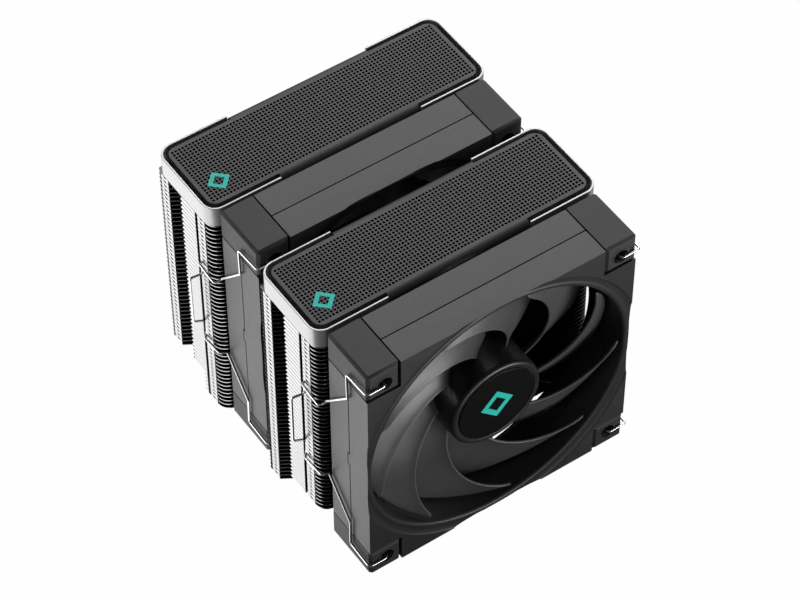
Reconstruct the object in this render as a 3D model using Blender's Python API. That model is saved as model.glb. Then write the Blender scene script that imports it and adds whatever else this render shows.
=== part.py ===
"""Dual-tower processor cooler with two 120 mm fans.

Run it with blender --background --python part.py. +Z is up, the fans blow along +Y, and the
origin is the centre of the cold plate's bottom face. The sizes below are in millimetres, and
add_body turns them into metres.
"""

import math

import bmesh
import bpy
from mathutils import Matrix, Vector

MM = 0.001
GAP = 0.3  # between two pieces that rest on each other

# Fan frame, with depths measured from its front face
FAN_SIZE = 120.0
FAN_DEPTH = 25.0
FAN_BOTTOM = 40.0
FAN_Z = FAN_BOTTOM + FAN_SIZE / 2
FRAME_WALL = 2.0
BORE_R = FAN_SIZE / 2 - FRAME_WALL
BELL_FLARE = 5.5
LIP_STEP = 1.6
BELL_DEPTHS = (0.6, 1.8, 4.2)  # outer flare, lip and throat
STRUTS = 4
SEAT_THICK = 2.4
SEAT_DEPTH = FAN_DEPTH - SEAT_THICK

# Corner pads
PAD_WIDTH = 14.3
PAD_HEIGHT = 13.5
PAD_X = FAN_SIZE / 2 - PAD_WIDTH
PAD_Z = FAN_SIZE / 2 - PAD_HEIGHT
PAD_BACK = 1.2
HOLE_INSET = 7.5
HOLE_AT = FAN_SIZE / 2 - HOLE_INSET
HOLE_R = 2.5
HOLE_MOUTH_R = 4.6

# Rotor and motor
TIP_GAP = 1.4
TIP_R = BORE_R - TIP_GAP
HUB_R = 20.5
HUB_FRONT = 3.0
HUB_WALL = 1.4
ROTOR_BACK = SEAT_DEPTH - 2.0
BLADES = 9
BLADE_TIP_ANGLE = -79.0  # direction of one leading tip, seen from the front
BLADE_THICK = 1.2
BLADE_TIP_DEPTH = 1.5
BLADE_ROOT_DEPTH = 12.3
BADGE_R = 17.2
SHAFT_R = 1.5

# Towers, with a fan in front of each one
TOWER_WIDTH = 126.4
TOWER_DEPTH = 38.4
FRONT_FAN_CLEAR = 1.4  # from the pads of the front fan to its tower
MID_FAN_CLEAR = 0.7
MID_FAN_FRONT_CLEAR = 5.4  # from the first tower to the fan between the towers
TOWER_GAP = MID_FAN_FRONT_CLEAR + FAN_DEPTH + PAD_BACK + MID_FAN_CLEAR
TOWER_Y = (TOWER_DEPTH + TOWER_GAP) / 2  # centre of each tower, before and behind the base
FRONT_FAN_Y = -TOWER_Y - TOWER_DEPTH / 2 - FRONT_FAN_CLEAR - PAD_BACK - FAN_DEPTH
MID_FAN_Y = TOWER_Y - TOWER_DEPTH / 2 - MID_FAN_CLEAR - PAD_BACK - FAN_DEPTH

# Covers
COVER_BOTTOM = 150.0
COVER_TOP = 159.5
COVER_WALL = 1.0
COVER_CORNER = 6.0
COVER_OVER_X = 0.3  # past the fins
COVER_OVER_Y = 0.15
GRILLE_INSET = 1.7  # from the tray's inner wall
GRILLE_THICK = 2.0
WINDOW_X = 31.7
WINDOW_SILL = 3.4

# Fins
FIN_COUNT = 43
FIN_THICK = 0.4
FIN_FIRST_Z = 51.5
FIN_LAST_Z = COVER_BOTTOM - GAP - FIN_THICK
FIN_PITCH = (FIN_LAST_Z - FIN_FIRST_Z) / (FIN_COUNT - 1)
LOWER_FINS = 5  # short fins under the first full one, on the side of the mid fan
LOWER_CLEAR = 1.2  # from the short fins to the pipes
WALL_THICK = 0.5
SLOT_FROM_FRONT = (9.9, 12.3)  # clip groove on each side, from the tower's front face
WALL_FROM_FRONT = (12.3, 22.3)  # folded wall
SLOT_DEPTH = 2.2
TAB_FROM_EDGE = (2.7, 7.6)

# Heat pipes and base
PIPE_R = 3.0
LOWER_DEPTH = TOWER_DEPTH / 2 - PIPE_R - LOWER_CLEAR
PIPE_COUNT = 6
PIPE_WEB = 1.2  # between two pipes in the base
PIPE_PITCH_BASE = 2 * PIPE_R + PIPE_WEB
PIPE_PITCH_TOWER = 12.0
PIPE_BEND = 11.0
PIPE_SPREAD_BEND = 7.0
PIPE_TOP = COVER_BOTTOM - 1.0
PLATE_FLOOR = 3.0
PLATE_EDGE = 2.0
PLATE_X = (PIPE_COUNT - 1) * PIPE_PITCH_BASE + 2 * PIPE_R + 2 * PLATE_EDGE
PLATE_Y = 35.0
PIPE_Z = PLATE_FLOOR + GAP + PIPE_R
PIPE_STRAIGHT_Y = PLATE_Y / 2 + 4.0
BLOCK_TOP = 16.0

# Mounting bar and screws
BAR_X = 96.0
BAR_Y = 14.0
BAR_THICK = 2.0
BAR_TOP = BLOCK_TOP + GAP + BAR_THICK
BAR_SCREW_X = 13.0
BAR_SCREW_R = 1.5
BAR_SCREW_TIP = 11.5
SPRING_SCREW_X = 41.0
SPRING_SCREW_R = 2.5
SPRING_SCREW_HEAD = 30.0

# Wire clips
WIRE_R = 0.6
WIRE_CLEAR = 0.4
CLIP_SWING_DEPTH = 2.6  # hinge line behind the fan's front face
GRIP_REACH = 4.0  # past the side of the tower
GRIP_HALF = 13.0

ALONG_Y = Matrix.Rotation(math.radians(-90), 4, "X")


def clear_scene():
    for obj in list(bpy.data.objects):
        bpy.data.objects.remove(obj)


def material(name, colour, metallic, roughness):
    made = bpy.data.materials.get(name)
    if made is None:
        made = bpy.data.materials.new(name)
        made.use_nodes = True
        shader = made.node_tree.nodes["Principled BSDF"]
        shader.inputs["Base Color"].default_value = (*colour, 1)
        shader.inputs["Metallic"].default_value = metallic
        shader.inputs["Roughness"].default_value = roughness
    return made


def copper():
    return material("nickel_plate", (0.62, 0.61, 0.59), 1, 0.25)


def aluminium():
    return material("aluminium", (0.78, 0.78, 0.79), 1, 0.35)


def steel():
    return material("steel", (0.7, 0.7, 0.71), 1, 0.3)


def black_plastic():
    return material("black_plastic", (0.03, 0.03, 0.032), 0, 0.45)


def silver_plastic():
    return material("silver_coat", (0.75, 0.75, 0.76), 0.4, 0.35)


def black_rubber():
    return material("black_rubber", (0.02, 0.02, 0.02), 0, 0.8)


def dark_metal():
    return material("dark_metal", (0.1, 0.1, 0.1), 1, 0.5)


def brass():
    return material("brass", (0.75, 0.55, 0.25), 1, 0.35)


def board_green():
    return material("board", (0.02, 0.12, 0.06), 0, 0.6)


def add_body(name, bm, look, origin=(0, 0, 0)):
    """Object from a bmesh in world millimetres, with its origin at the given point."""
    bmesh.ops.recalc_face_normals(bm, faces=bm.faces)
    bmesh.ops.translate(bm, vec=-Vector(origin), verts=bm.verts)
    bmesh.ops.scale(bm, vec=(MM, MM, MM), verts=bm.verts)
    mesh = bpy.data.meshes.new(name)
    bm.to_mesh(mesh)
    bm.free()
    mesh.materials.append(look)
    obj = bpy.data.objects.new(name, mesh)
    obj.location = Vector(origin) * MM
    bpy.context.scene.collection.objects.link(obj)
    return obj


def combine(obj, other, operation):
    """Boolean with a hidden helper, which stays editable in the file."""
    other.hide_render = True
    other.display_type = "WIRE"
    step = obj.modifiers.new(other.name, "BOOLEAN")
    step.operation = operation
    step.solver = "EXACT"
    step.object = other


def cut(obj, bm, name):
    combine(obj, add_body(name, bm, black_plastic(), tuple(obj.location / MM)), "DIFFERENCE")


def join_on(obj, bm, name):
    combine(obj, add_body(name, bm, black_plastic(), tuple(obj.location / MM)), "UNION")


def box(low, high, bm=None):
    bm = bm or bmesh.new()
    low, high = Vector(low), Vector(high)
    made = bmesh.ops.create_cube(bm, size=1)["verts"]
    bmesh.ops.scale(bm, vec=high - low, verts=made)
    bmesh.ops.translate(bm, vec=(low + high) / 2, verts=made)
    return bm


def lathe(profile, centre, turn, segments, bm=None):
    """Closed ring or disc from (radius, height) points, turned about the axis of `turn`."""
    bm = bm or bmesh.new()
    place = Matrix.Translation(centre) @ turn
    rings = []
    for radius, height in profile:
        if radius == 0:
            rings.append([bm.verts.new(place @ Vector((0, 0, height)))])
            continue
        ring = []
        for step in range(segments):
            angle = math.tau * step / segments
            point = Vector((radius * math.cos(angle), radius * math.sin(angle), height))
            ring.append(bm.verts.new(place @ point))
        rings.append(ring)
    closed = profile[0][0] != 0
    last = len(rings) if closed else len(rings) - 1
    for index in range(last):
        bridge(bm, rings[index], rings[(index + 1) % len(rings)], segments)
    return bm


def bridge(bm, first, second, segments):
    for step in range(segments):
        ahead = (step + 1) % segments
        corners = [first[step % len(first)], first[ahead % len(first)]]
        corners += [second[ahead % len(second)], second[step % len(second)]]
        bm.faces.new(list(dict.fromkeys(corners)))


def disc(radius, low, high, centre, turn, segments, bm=None):
    profile = [(0, low), (radius, low), (radius, high), (0, high)]
    return lathe(profile, centre, turn, segments, bm)


def tube_wall(inner, outer, low, high, centre, turn, segments, bm=None):
    profile = [(inner, low), (outer, low), (outer, high), (inner, high)]
    return lathe(profile, centre, turn, segments, bm)


def rounded_path(points, radii, segments, share=0.48):
    """The polyline with an arc at each corner, in `segments` steps for a right-angled turn."""
    points = [Vector(p) for p in points]
    path = [points[0]]
    for before, corner, after, radius in zip(points, points[1:], points[2:], radii):
        back = (before - corner).normalized()
        ahead = (after - corner).normalized()
        half = back.angle(ahead) / 2
        leg = min((before - corner).length, (after - corner).length)
        reach = min(radius / math.tan(half), share * leg)
        middle = (back + ahead).normalized()
        centre = corner + middle * (reach / math.cos(half))
        start = corner + back * reach - centre
        end = corner + ahead * reach - centre
        steps = max(1, round(segments * (math.pi - 2 * half) / (math.pi / 2)))
        for step in range(steps + 1):
            path.append(centre + start.slerp(end, step / steps) * start.length)
    path.append(points[-1])
    return path


def sweep(path, radius, sides, bm=None):
    """Round bar along a path, with mitred joints and flat ends."""
    bm = bm or bmesh.new()
    path = [Vector(p) for p in path]
    legs = [(b - a).normalized() for a, b in zip(path, path[1:])]
    side = legs[0].orthogonal().normalized()
    rings = []
    for index, point in enumerate(path):
        ahead = legs[min(index, len(legs) - 1)]
        back = legs[max(index - 1, 0)]
        side = (side - ahead * side.dot(ahead)).normalized()
        across = (back + ahead).normalized()
        ring = []
        for step in range(sides):
            angle = math.tau * step / sides
            spoke = side * math.cos(angle) + ahead.cross(side) * math.sin(angle)
            spoke *= radius
            spoke -= ahead * (spoke.dot(across) / ahead.dot(across))
            ring.append(bm.verts.new(point + spoke))
        rings.append(ring)
    for first, second in zip(rings, rings[1:]):
        bridge(bm, first, second, sides)
    bm.faces.new(rings[0])
    bm.faces.new(rings[-1])
    return bm


def rectangle(low_x, high_x, low_y, high_y):
    return [(low_x, low_y), (high_x, low_y), (high_x, high_y), (low_x, high_y)]


def loop_edges(loops):
    edges = set()
    for loop in loops:
        for first, second in zip(loop, loop[1:] + loop[:1]):
            edges ^= {frozenset((first, second))}
    return edges


def stacked_solid(layers):
    """Closed solid from flat layers (bottom, top, loops). Loops that touch share their corners."""
    bm = bmesh.new()
    made = {}

    def vert(spot, z):
        key = (*spot, round(z, 4))
        if key not in made:
            made[key] = bm.verts.new((*spot, z))
        return made[key]

    def edge(ends, z):
        ends = [vert(spot, z) for spot in ends]
        return bm.edges.get(ends) or bm.edges.new(ends)

    for low, high, loops in layers:
        for first, second in loop_edges(loops):
            corners = (vert(first, low), vert(second, low), vert(second, high), vert(first, high))
            bm.faces.new(corners)
    under = [[]] + [loops for _, _, loops in layers]
    over = [loops for _, _, loops in layers] + [[]]
    planes = [low for low, _, _ in layers] + [layers[-1][1]]
    for z, below, above in zip(planes, under, over):
        border = loop_edges(below) ^ loop_edges(above)
        border = [edge(ends, z) for ends in sorted(map(sorted, border))]
        bmesh.ops.triangle_fill(bm, use_beauty=True, use_dissolve=False, edges=border)
    return bm


# Base


def pipe_channels(half_length):
    """Cutter for the six channels that hold the pipes."""
    bm = bmesh.new()
    for x in pipe_spots(PIPE_PITCH_BASE):
        disc(PIPE_R + GAP, -half_length, half_length, (x, 0, PIPE_Z), ALONG_Y, 12, bm)
    return bm


def pipe_spots(pitch):
    middle = (PIPE_COUNT - 1) / 2
    return [(n - middle) * pitch for n in range(PIPE_COUNT)]


def add_base():
    x, y = PLATE_X / 2, PLATE_Y / 2
    plate = add_body("cold_plate", box((-x, -y, 0), (x, y, PIPE_Z - GAP / 2)), copper())
    cut(plate, pipe_channels(y + 1), "cut_plate_channels")
    low = PIPE_Z + GAP / 2
    block = add_body("base_clamp_block", box((-x, -y, low), (x, y, BLOCK_TOP)), aluminium())
    cut(block, pipe_channels(y + 1), "cut_block_channels")
    holes = bmesh.new()
    for side in (-1, 1):
        at = (side * BAR_SCREW_X, 0, 0)
        disc(BAR_SCREW_R + GAP, BAR_SCREW_TIP - 0.5, BLOCK_TOP + 1, at, Matrix(), 12, holes)
    cut(block, holes, "cut_block_holes")


def add_bar():
    low = BLOCK_TOP + GAP
    shape = box((-BAR_X / 2, -BAR_Y / 2, low), (BAR_X / 2, BAR_Y / 2, BAR_TOP))
    bar = add_body("mounting_bar", shape, steel())
    holes = bmesh.new()
    for side in (-1, 1):
        at = (side * BAR_SCREW_X, 0, 0)
        disc(BAR_SCREW_R + 0.8, low - 1, BAR_TOP + 1, at, Matrix(), 12, holes)
        at = (side * SPRING_SCREW_X, 0, 0)
        disc(SPRING_SCREW_R + 0.4, low - 1, BAR_TOP + 1, at, Matrix(), 16, holes)
    cut(bar, holes, "cut_bar_holes")


def add_fixing_screws():
    seat = BAR_TOP + GAP
    for side, label in ((-1, "left"), (1, "right")):
        profile = [(0, BAR_SCREW_TIP), (BAR_SCREW_R, BAR_SCREW_TIP), (BAR_SCREW_R, seat)]
        profile += [(3.4, seat), (3.4, seat + 1.4), (2.6, seat + 2), (0, seat + 2)]
        bm = lathe(profile, (side * BAR_SCREW_X, 0, 0), Matrix(), 12)
        add_body(f"bar_fixing_screw_{label}", bm, steel())


def spring_screw_profile():
    """Thread, shank with the groove of its retaining clip, and head."""
    head, shank = SPRING_SCREW_HEAD, SPRING_SCREW_R
    groove_low, groove_high = BLOCK_TOP - 0.9 - GAP, BLOCK_TOP + 0.1
    profile = [(0, 1.5), (1.6, 1.5), (1.6, 7.0), (shank, 7.0), (shank, groove_low)]
    profile += [(shank - 0.8, groove_low), (shank - 0.8, groove_high), (shank, groove_high)]
    profile += [(shank, head), (4.6, head), (4.6, head + 3.4), (4.1, head + 4), (0, head + 4)]
    return profile


def add_spring_screws():
    head = SPRING_SCREW_HEAD
    for side, label in ((-1, "left"), (1, "right")):
        at = (side * SPRING_SCREW_X, 0, 0)
        screw = add_body(
            f"spring_screw_{label}", lathe(spring_screw_profile(), at, Matrix(), 12), steel(), at
        )
        slots = box((at[0] - 2.6, -0.5, head + 2.2), (at[0] + 2.6, 0.5, head + 5))
        cut(screw, slots, f"cut_screw_slot_{label}")
        slots = box((at[0] - 0.5, -2.6, head + 2.2), (at[0] + 0.5, 2.6, head + 5))
        cut(screw, slots, f"cut_screw_cross_{label}")
        inner, outer = SPRING_SCREW_R - 0.5, SPRING_SCREW_R + 1.5
        ring = tube_wall(inner, outer, BLOCK_TOP - 0.9, BLOCK_TOP - 0.1, at, Matrix(), 16)
        clip = add_body(f"screw_clip_{label}", ring, dark_metal(), at)
        mouth = box((at[0] - 0.9, -5, 10), (at[0] + 0.9, -0.1, BLOCK_TOP + 1))
        cut(clip, mouth, f"cut_clip_mouth_{label}")
        add_body(f"screw_spring_{label}", spring_coil(at, BAR_TOP, head), steel(), at)


def spring_coil(at, low, high):
    """Compression spring with five turns between two flat seats."""
    wire, radius, turns, steps = 0.45, SPRING_SCREW_R + 1.0, 5, 8
    start, rise = low + GAP + wire, high - low - 2 * (GAP + wire)
    path = []
    for n in range(turns * steps + 1):
        angle = math.tau * n / steps
        height = start + rise * n / (turns * steps)
        path.append((at[0] + radius * math.cos(angle), radius * math.sin(angle), height))
    return sweep(path, wire, 4)


# Heat pipes and towers


def add_pipes():
    base, tower = pipe_spots(PIPE_PITCH_BASE), pipe_spots(PIPE_PITCH_TOWER)
    for n in range(PIPE_COUNT):
        half = [(base[n], PIPE_STRAIGHT_Y, PIPE_Z), (tower[n], TOWER_Y, PIPE_Z)]
        half.append((tower[n], TOWER_Y, PIPE_TOP))
        front = [(x, -y, z) for x, y, z in reversed(half)]
        radii = (PIPE_BEND, PIPE_SPREAD_BEND, PIPE_SPREAD_BEND, PIPE_BEND)
        path = rounded_path(front + half, radii, 4, 0.8)
        add_body(f"heat_pipe_{n + 1}", sweep(path, PIPE_R, 8), copper())


def fin_outline(front, back, slot, edge_points):
    """Loop of one fin, with the clip groove on each side if the fin reaches it."""
    half = TOWER_WIDTH / 2
    grooved = front < slot[0] < back
    ends = {front, back, *edge_points, *(slot if grooved else [])}
    right = [(half, y) for y in sorted(ends)]
    if grooved:
        deep = half - SLOT_DEPTH
        place = right.index((half, slot[0]))
        right[place + 1 : place + 1] = [(deep, slot[0]), (deep, slot[1])]
    left = [(-x, y) for x, y in reversed(right)]
    return right + left


def side_walls(low_y, high_y):
    """The folded tabs of both sides, as loops."""
    half = TOWER_WIDTH / 2
    inner = half - WALL_THICK
    return [rectangle(-half, -inner, low_y, high_y), rectangle(inner, half, low_y, high_y)]


def add_fin_stack(name, centre, lower_front):
    """One tower's fins, joined by the folded walls on both sides."""
    front, back = centre - TOWER_DEPTH / 2, centre + TOWER_DEPTH / 2
    slot = [front + value for value in SLOT_FROM_FRONT]
    wall = [front + value for value in WALL_FROM_FRONT]
    if lower_front:
        short = (front, front + LOWER_DEPTH)
        tab = [front + value for value in TAB_FROM_EDGE]
    else:
        short = (back - LOWER_DEPTH, back)
        tab = [back - value for value in reversed(TAB_FROM_EDGE)]
    reach = (PIPE_COUNT - 1) / 2 * PIPE_PITCH_TOWER + PIPE_R + GAP
    opening = rectangle(-reach, reach, centre - PIPE_R - GAP, centre + PIPE_R + GAP)
    layers = []
    for n in range(-LOWER_FINS, FIN_COUNT):
        low = FIN_FIRST_Z + n * FIN_PITCH
        if n < 0:
            loops = [fin_outline(*short, slot, tab)]
        else:
            low_tab = tab if n == 0 else []
            loops = [fin_outline(front, back, slot, wall + low_tab), opening]
        layers.append((low, low + FIN_THICK, loops))
        walls = side_walls(*tab) if n < 0 else side_walls(*wall)
        if n < FIN_COUNT - 1:
            layers.append((low + FIN_THICK, low + FIN_PITCH, walls))
    return add_body(name, stacked_solid(layers), aluminium())


def rounded_box(half_x, half_y, radius, low, high, centre, bm=None):
    bm = bm or bmesh.new()
    rim = []
    for quarter, (sx, sy) in enumerate(((1, 1), (-1, 1), (-1, -1), (1, -1))):
        for step in range(4):
            angle = math.radians(90 * quarter + 30 * step)
            x = sx * (half_x - radius) + radius * math.cos(angle)
            y = sy * (half_y - radius) + radius * math.sin(angle)
            rim.append((x, y))
    bottom = [bm.verts.new((x, y + centre, low)) for x, y in rim]
    top = [bm.verts.new((x, y + centre, high)) for x, y in rim]
    bridge(bm, bottom, top, len(rim))
    bm.faces.new(bottom)
    bm.faces.new(top)
    return bm


def add_cover(prefix, centre):
    """Open tray with a recessed grille plate that shows at both long sides."""
    half_x, half_y = TOWER_WIDTH / 2 + COVER_OVER_X, TOWER_DEPTH / 2 + COVER_OVER_Y
    shape = rounded_box(half_x, half_y, COVER_CORNER, COVER_BOTTOM, COVER_TOP, centre)
    tray = add_body(f"{prefix}_cover_tray", shape, silver_plastic())
    in_x, in_y, floor = half_x - COVER_WALL, half_y - COVER_WALL, COVER_BOTTOM + COVER_WALL
    inside = rounded_box(in_x, in_y, COVER_CORNER - COVER_WALL, floor, COVER_TOP + 1, centre)
    cut(tray, inside, f"cut_{prefix}_tray")
    sill = COVER_BOTTOM + WINDOW_SILL
    window = box((-WINDOW_X, centre - half_y - 1, sill), (WINDOW_X, centre + half_y + 1, COVER_TOP + 1))
    cut(tray, window, f"cut_{prefix}_tray_sides")
    in_x, in_y = in_x - GRILLE_INSET, in_y - GRILLE_INSET
    shape = rounded_box(in_x, in_y, COVER_CORNER - 2, floor + GAP, COVER_TOP, centre)
    grille = add_body(f"{prefix}_cover_grille", shape, black_plastic())
    low = (2.3 - in_x, centre + 2.3 - in_y, floor - 1)
    high = (in_x - 2.3, centre + in_y - 2.3, COVER_TOP - GRILLE_THICK)
    cut(grille, box(low, high), f"cut_{prefix}_grille")
    for side in (-1, 1):
        join_on(grille, grille_lip(side, centre, half_y), f"lip_{prefix}_grille_{side + 2}")


def grille_lip(side, centre, half_y):
    """Sloped edge that fills the gap in the tray's long side."""
    low, inner = COVER_BOTTOM + WINDOW_SILL + 0.5, half_y - COVER_WALL - GRILLE_INSET - 0.5
    section = [(inner, COVER_TOP), (half_y - 1.9, COVER_TOP), (half_y, low + 1.2)]
    section += [(half_y, low), (inner, low)]
    bm = bmesh.new()
    ends = []
    for x in (GAP - WINDOW_X, WINDOW_X - GAP):
        ends.append([bm.verts.new((x, centre + side * y, z)) for y, z in section])
        bm.faces.new(ends[-1])
    bridge(bm, ends[0], ends[1], len(section))
    return bm


# Fans


def corner_signs():
    return [(-1, 1, "top_left"), (1, 1, "top_right"), (-1, -1, "bottom_left"), (1, -1, "bottom_right")]


def shell_half(name, front, low, high):
    half = FAN_SIZE / 2
    shape = box((-half, front + low, FAN_Z - half), (half, front + high, FAN_Z + half))
    shell = add_body(name, shape, black_plastic(), (0, front, FAN_Z))
    corners = bmesh.new()
    for sx, sz, _ in corner_signs():
        inner = (sx * (PAD_X - GAP), front - 5, FAN_Z + sz * (PAD_Z - GAP))
        outer = (sx * (half + 1), front + FAN_DEPTH + 5, FAN_Z + sz * (half + 1))
        low_corner = [min(a, b) for a, b in zip(inner, outer)]
        high_corner = [max(a, b) for a, b in zip(inner, outer)]
        box(low_corner, high_corner, corners)
    cut(shell, corners, f"cut_{name}_corners")
    return shell


def add_shells(prefix, front):
    middle = FAN_DEPTH / 2
    at = (0, front, FAN_Z)
    shell = shell_half(f"{prefix}_front_shell", front, 0, middle - GAP / 2)
    flare, lip, throat = BELL_DEPTHS
    profile = [(0, -1), (BORE_R + BELL_FLARE, -1), (BORE_R + BELL_FLARE, flare)]
    profile += [(BORE_R + LIP_STEP, lip), (BORE_R, throat)]
    profile += [(BORE_R, FAN_DEPTH + 1), (0, FAN_DEPTH + 1)]
    cut(shell, lathe(profile, at, ALONG_Y, 40), f"cut_{prefix}_bell")
    shell = shell_half(f"{prefix}_rear_shell", front, middle + GAP / 2, FAN_DEPTH)
    bore = disc(BORE_R, -1, FAN_DEPTH + 1, at, ALONG_Y, 40)
    cut(shell, bore, f"cut_{prefix}_bore")
    join_on(shell, motor_seat(at), f"join_{prefix}_seat")
    low, high = (18, -1.6, SEAT_DEPTH + 0.2), (BORE_R + 1.2, 1.6, FAN_DEPTH - GAP)
    struts = turned_boxes(low, high, STRUTS, 45, at)
    join_on(shell, struts, f"join_{prefix}_struts")


def motor_seat(at):
    """Plate with the blind tube that holds the bearing."""
    blind = FAN_DEPTH - SEAT_THICK / 2
    profile = [(0, blind), (3.2, blind), (3.2, 8.6), (4.6, 8.6)]
    profile += [(4.6, SEAT_DEPTH), (20.0, SEAT_DEPTH), (20.0, FAN_DEPTH), (0, FAN_DEPTH)]
    return lathe(profile, at, ALONG_Y, 24)


def turned_boxes(low, high, count, start, at):
    """Copies of one box around the fan's axis, with its third size along that axis."""
    bm = bmesh.new()
    for n in range(count):
        turn = Matrix.Rotation(math.radians(start + 360 / count * n), 4, "Z")
        box(low, high, bm)
        bmesh.ops.transform(bm, matrix=turn, verts=list(bm.verts)[-8:])
    bmesh.ops.transform(bm, matrix=Matrix.Translation(at) @ ALONG_Y, verts=bm.verts)
    return bm


def add_pads(prefix, front):
    half = FAN_SIZE / 2
    for sx, sz, label in corner_signs():
        inner = (sx * PAD_X, front, FAN_Z + sz * PAD_Z)
        outer = (sx * half, front + FAN_DEPTH + PAD_BACK, FAN_Z + sz * half)
        low = [min(a, b) for a, b in zip(inner, outer)]
        high = [max(a, b) for a, b in zip(inner, outer)]
        pad = add_body(f"{prefix}_pad_{label}", box(low, high), black_rubber())
        at = (sx * HOLE_AT, front, FAN_Z + sz * HOLE_AT)
        deep, mouth = FAN_DEPTH + PAD_BACK, HOLE_MOUTH_R
        profile = [(0, -1), (mouth, -1), (mouth, 2.4), (HOLE_R, 4.4), (HOLE_R, deep - 3.6)]
        profile += [(mouth, deep - 1.6), (mouth, deep + 1), (0, deep + 1)]
        cut(pad, lathe(profile, at, ALONG_Y, 8), f"cut_{prefix}_pad_{label}")


def blade_sections():
    """(radius, leading angle, chord angle, leading depth, trailing depth), from hub to tip."""
    rows = []
    for n in range(5):
        out = n / 4
        radius = HUB_R - 1.0 + (TIP_R - HUB_R + 1.0) * out
        lead = -62.0 * (1 - out) ** 0.87
        chord = 27.0 + 28.0 * out**1.2
        front_edge = BLADE_ROOT_DEPTH + (BLADE_TIP_DEPTH - BLADE_ROOT_DEPTH) * out
        back_edge = ROTOR_BACK - 0.6 - 2.4 * out
        rows.append((radius, lead, chord, front_edge, back_edge))
    return rows


def blade(tip_angle, at, bm):
    """Forward-swept blade with a leading tip close to the frame's front face."""
    across = 4
    faces = []
    for offset in (0, BLADE_THICK):
        grid = []
        for radius, lead, chord, front_edge, back_edge in blade_sections():
            row = []
            for n in range(across):
                along = n / (across - 1)
                angle = math.radians(tip_angle + lead - chord * along)
                depth = front_edge + (back_edge - front_edge) * along**0.85 + offset
                spot = Vector((radius * math.cos(angle), depth, radius * math.sin(angle)))
                row.append(bm.verts.new(Vector(at) + spot))
            grid.append(row)
        faces.append(grid)
    top, under = faces
    for a in range(len(top) - 1):
        for b in range(across - 1):
            for grid in (top, under):
                bm.faces.new((grid[a][b], grid[a][b + 1], grid[a + 1][b + 1], grid[a + 1][b]))
    rim = [(a, 0) for a in range(len(top))] + [(len(top) - 1, b) for b in range(1, across)]
    rim += [(a, across - 1) for a in range(len(top) - 2, -1, -1)]
    rim += [(0, b) for b in range(across - 2, 0, -1)]
    for first, second in zip(rim, rim[1:] + rim[:1]):
        ring = (top[first[0]][first[1]], top[second[0]][second[1]])
        ring += (under[second[0]][second[1]], under[first[0]][first[1]])
        bm.faces.new(ring)


def add_rotor(prefix, front):
    at = (0, front, FAN_Z)
    inner, step = HUB_R - HUB_WALL, HUB_FRONT + 0.6
    profile = [(0, step), (BADGE_R + 0.4, step), (BADGE_R + 0.4, HUB_FRONT), (HUB_R - 1.2, HUB_FRONT)]
    profile += [(HUB_R, HUB_FRONT + 1.2), (HUB_R, ROTOR_BACK), (inner, ROTOR_BACK), (inner, 5.6)]
    profile += [(4.0, 5.6), (4.0, 8.0), (SHAFT_R + GAP, 8.0), (SHAFT_R + GAP, 5.6), (0, 5.6)]
    rotor = add_body(f"{prefix}_rotor", lathe(profile, at, ALONG_Y, 24), black_plastic(), at)
    blades = bmesh.new()
    for n in range(BLADES):
        blade(BLADE_TIP_ANGLE + 360 / BLADES * n, at, blades)
    join_on(rotor, blades, f"join_{prefix}_blades")
    badge = disc(BADGE_R, HUB_FRONT - 0.1, HUB_FRONT + 0.3, at, ALONG_Y, 24)
    add_body(f"{prefix}_hub_badge", badge, black_plastic(), at)
    shaft = disc(SHAFT_R, 5.9, SEAT_DEPTH - 0.6, at, ALONG_Y, 12)
    add_body(f"{prefix}_rotor_shaft", shaft, steel(), at)
    magnet = tube_wall(inner - 2.1, inner - GAP, 7.0, ROTOR_BACK - 1.0, at, ALONG_Y, 24)
    add_body(f"{prefix}_magnet_ring", magnet, dark_metal(), at)


def add_motor(prefix, front):
    at = (0, front, FAN_Z)
    bearing_end, core_end = SEAT_DEPTH - 0.6, SEAT_DEPTH - 4.0
    sleeve = tube_wall(SHAFT_R + GAP, 2.9, 9.0, bearing_end, at, ALONG_Y, 12)
    add_body(f"{prefix}_bearing_sleeve", sleeve, brass())
    board = tube_wall(4.9, 17.5, ROTOR_BACK + GAP, SEAT_DEPTH - GAP, at, ALONG_Y, 20)
    add_body(f"{prefix}_circuit_board", board, board_green())
    ring = tube_wall(4.9, 9.0, 9.4, core_end, at, ALONG_Y, 16)
    core = add_body(f"{prefix}_stator_core", ring, dark_metal(), at)
    poles = turned_boxes((8.0, -3.4, 10.0), (15.8, 3.4, core_end - 0.6), 4, 0, at)
    join_on(core, poles, f"join_{prefix}_poles")


def clip_path(front, tower_centre):
    """Upper half of a left wire clip, from its hook to the middle of the finger grip."""
    slot_y = tower_centre - TOWER_DEPTH / 2 + sum(SLOT_FROM_FRONT) / 2
    fan_side = FAN_SIZE / 2 + WIRE_R + WIRE_CLEAR
    hook_y = front - WIRE_R - WIRE_CLEAR
    tower_side = TOWER_WIDTH / 2 + WIRE_R + 0.5
    groove = TOWER_WIDTH / 2 - 0.9
    fan_back = front + FAN_DEPTH
    points = [(-HOLE_AT, front + CLIP_SWING_DEPTH + WIRE_R, HOLE_AT)]
    points.append((-HOLE_AT, hook_y, HOLE_AT))
    points.append((-fan_side, hook_y, HOLE_AT))
    points.append((-fan_side, front + 12.0, HOLE_AT - 1.0))
    points.append((-fan_side, front + 11.7, 38.0))
    points.append((-fan_side, fan_back + WIRE_R + 0.1, 22.0))
    points.append((-tower_side, fan_back + 2 * WIRE_R, 21.0))
    points.append((-tower_side, slot_y - 1.5, 22.4))
    points.append((-groove, slot_y, 21.0))
    points.append((-groove, slot_y, GRIP_HALF + 1))
    points.append((-TOWER_WIDTH / 2 - GRIP_REACH, slot_y + 1.4, GRIP_HALF))
    return points


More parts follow.
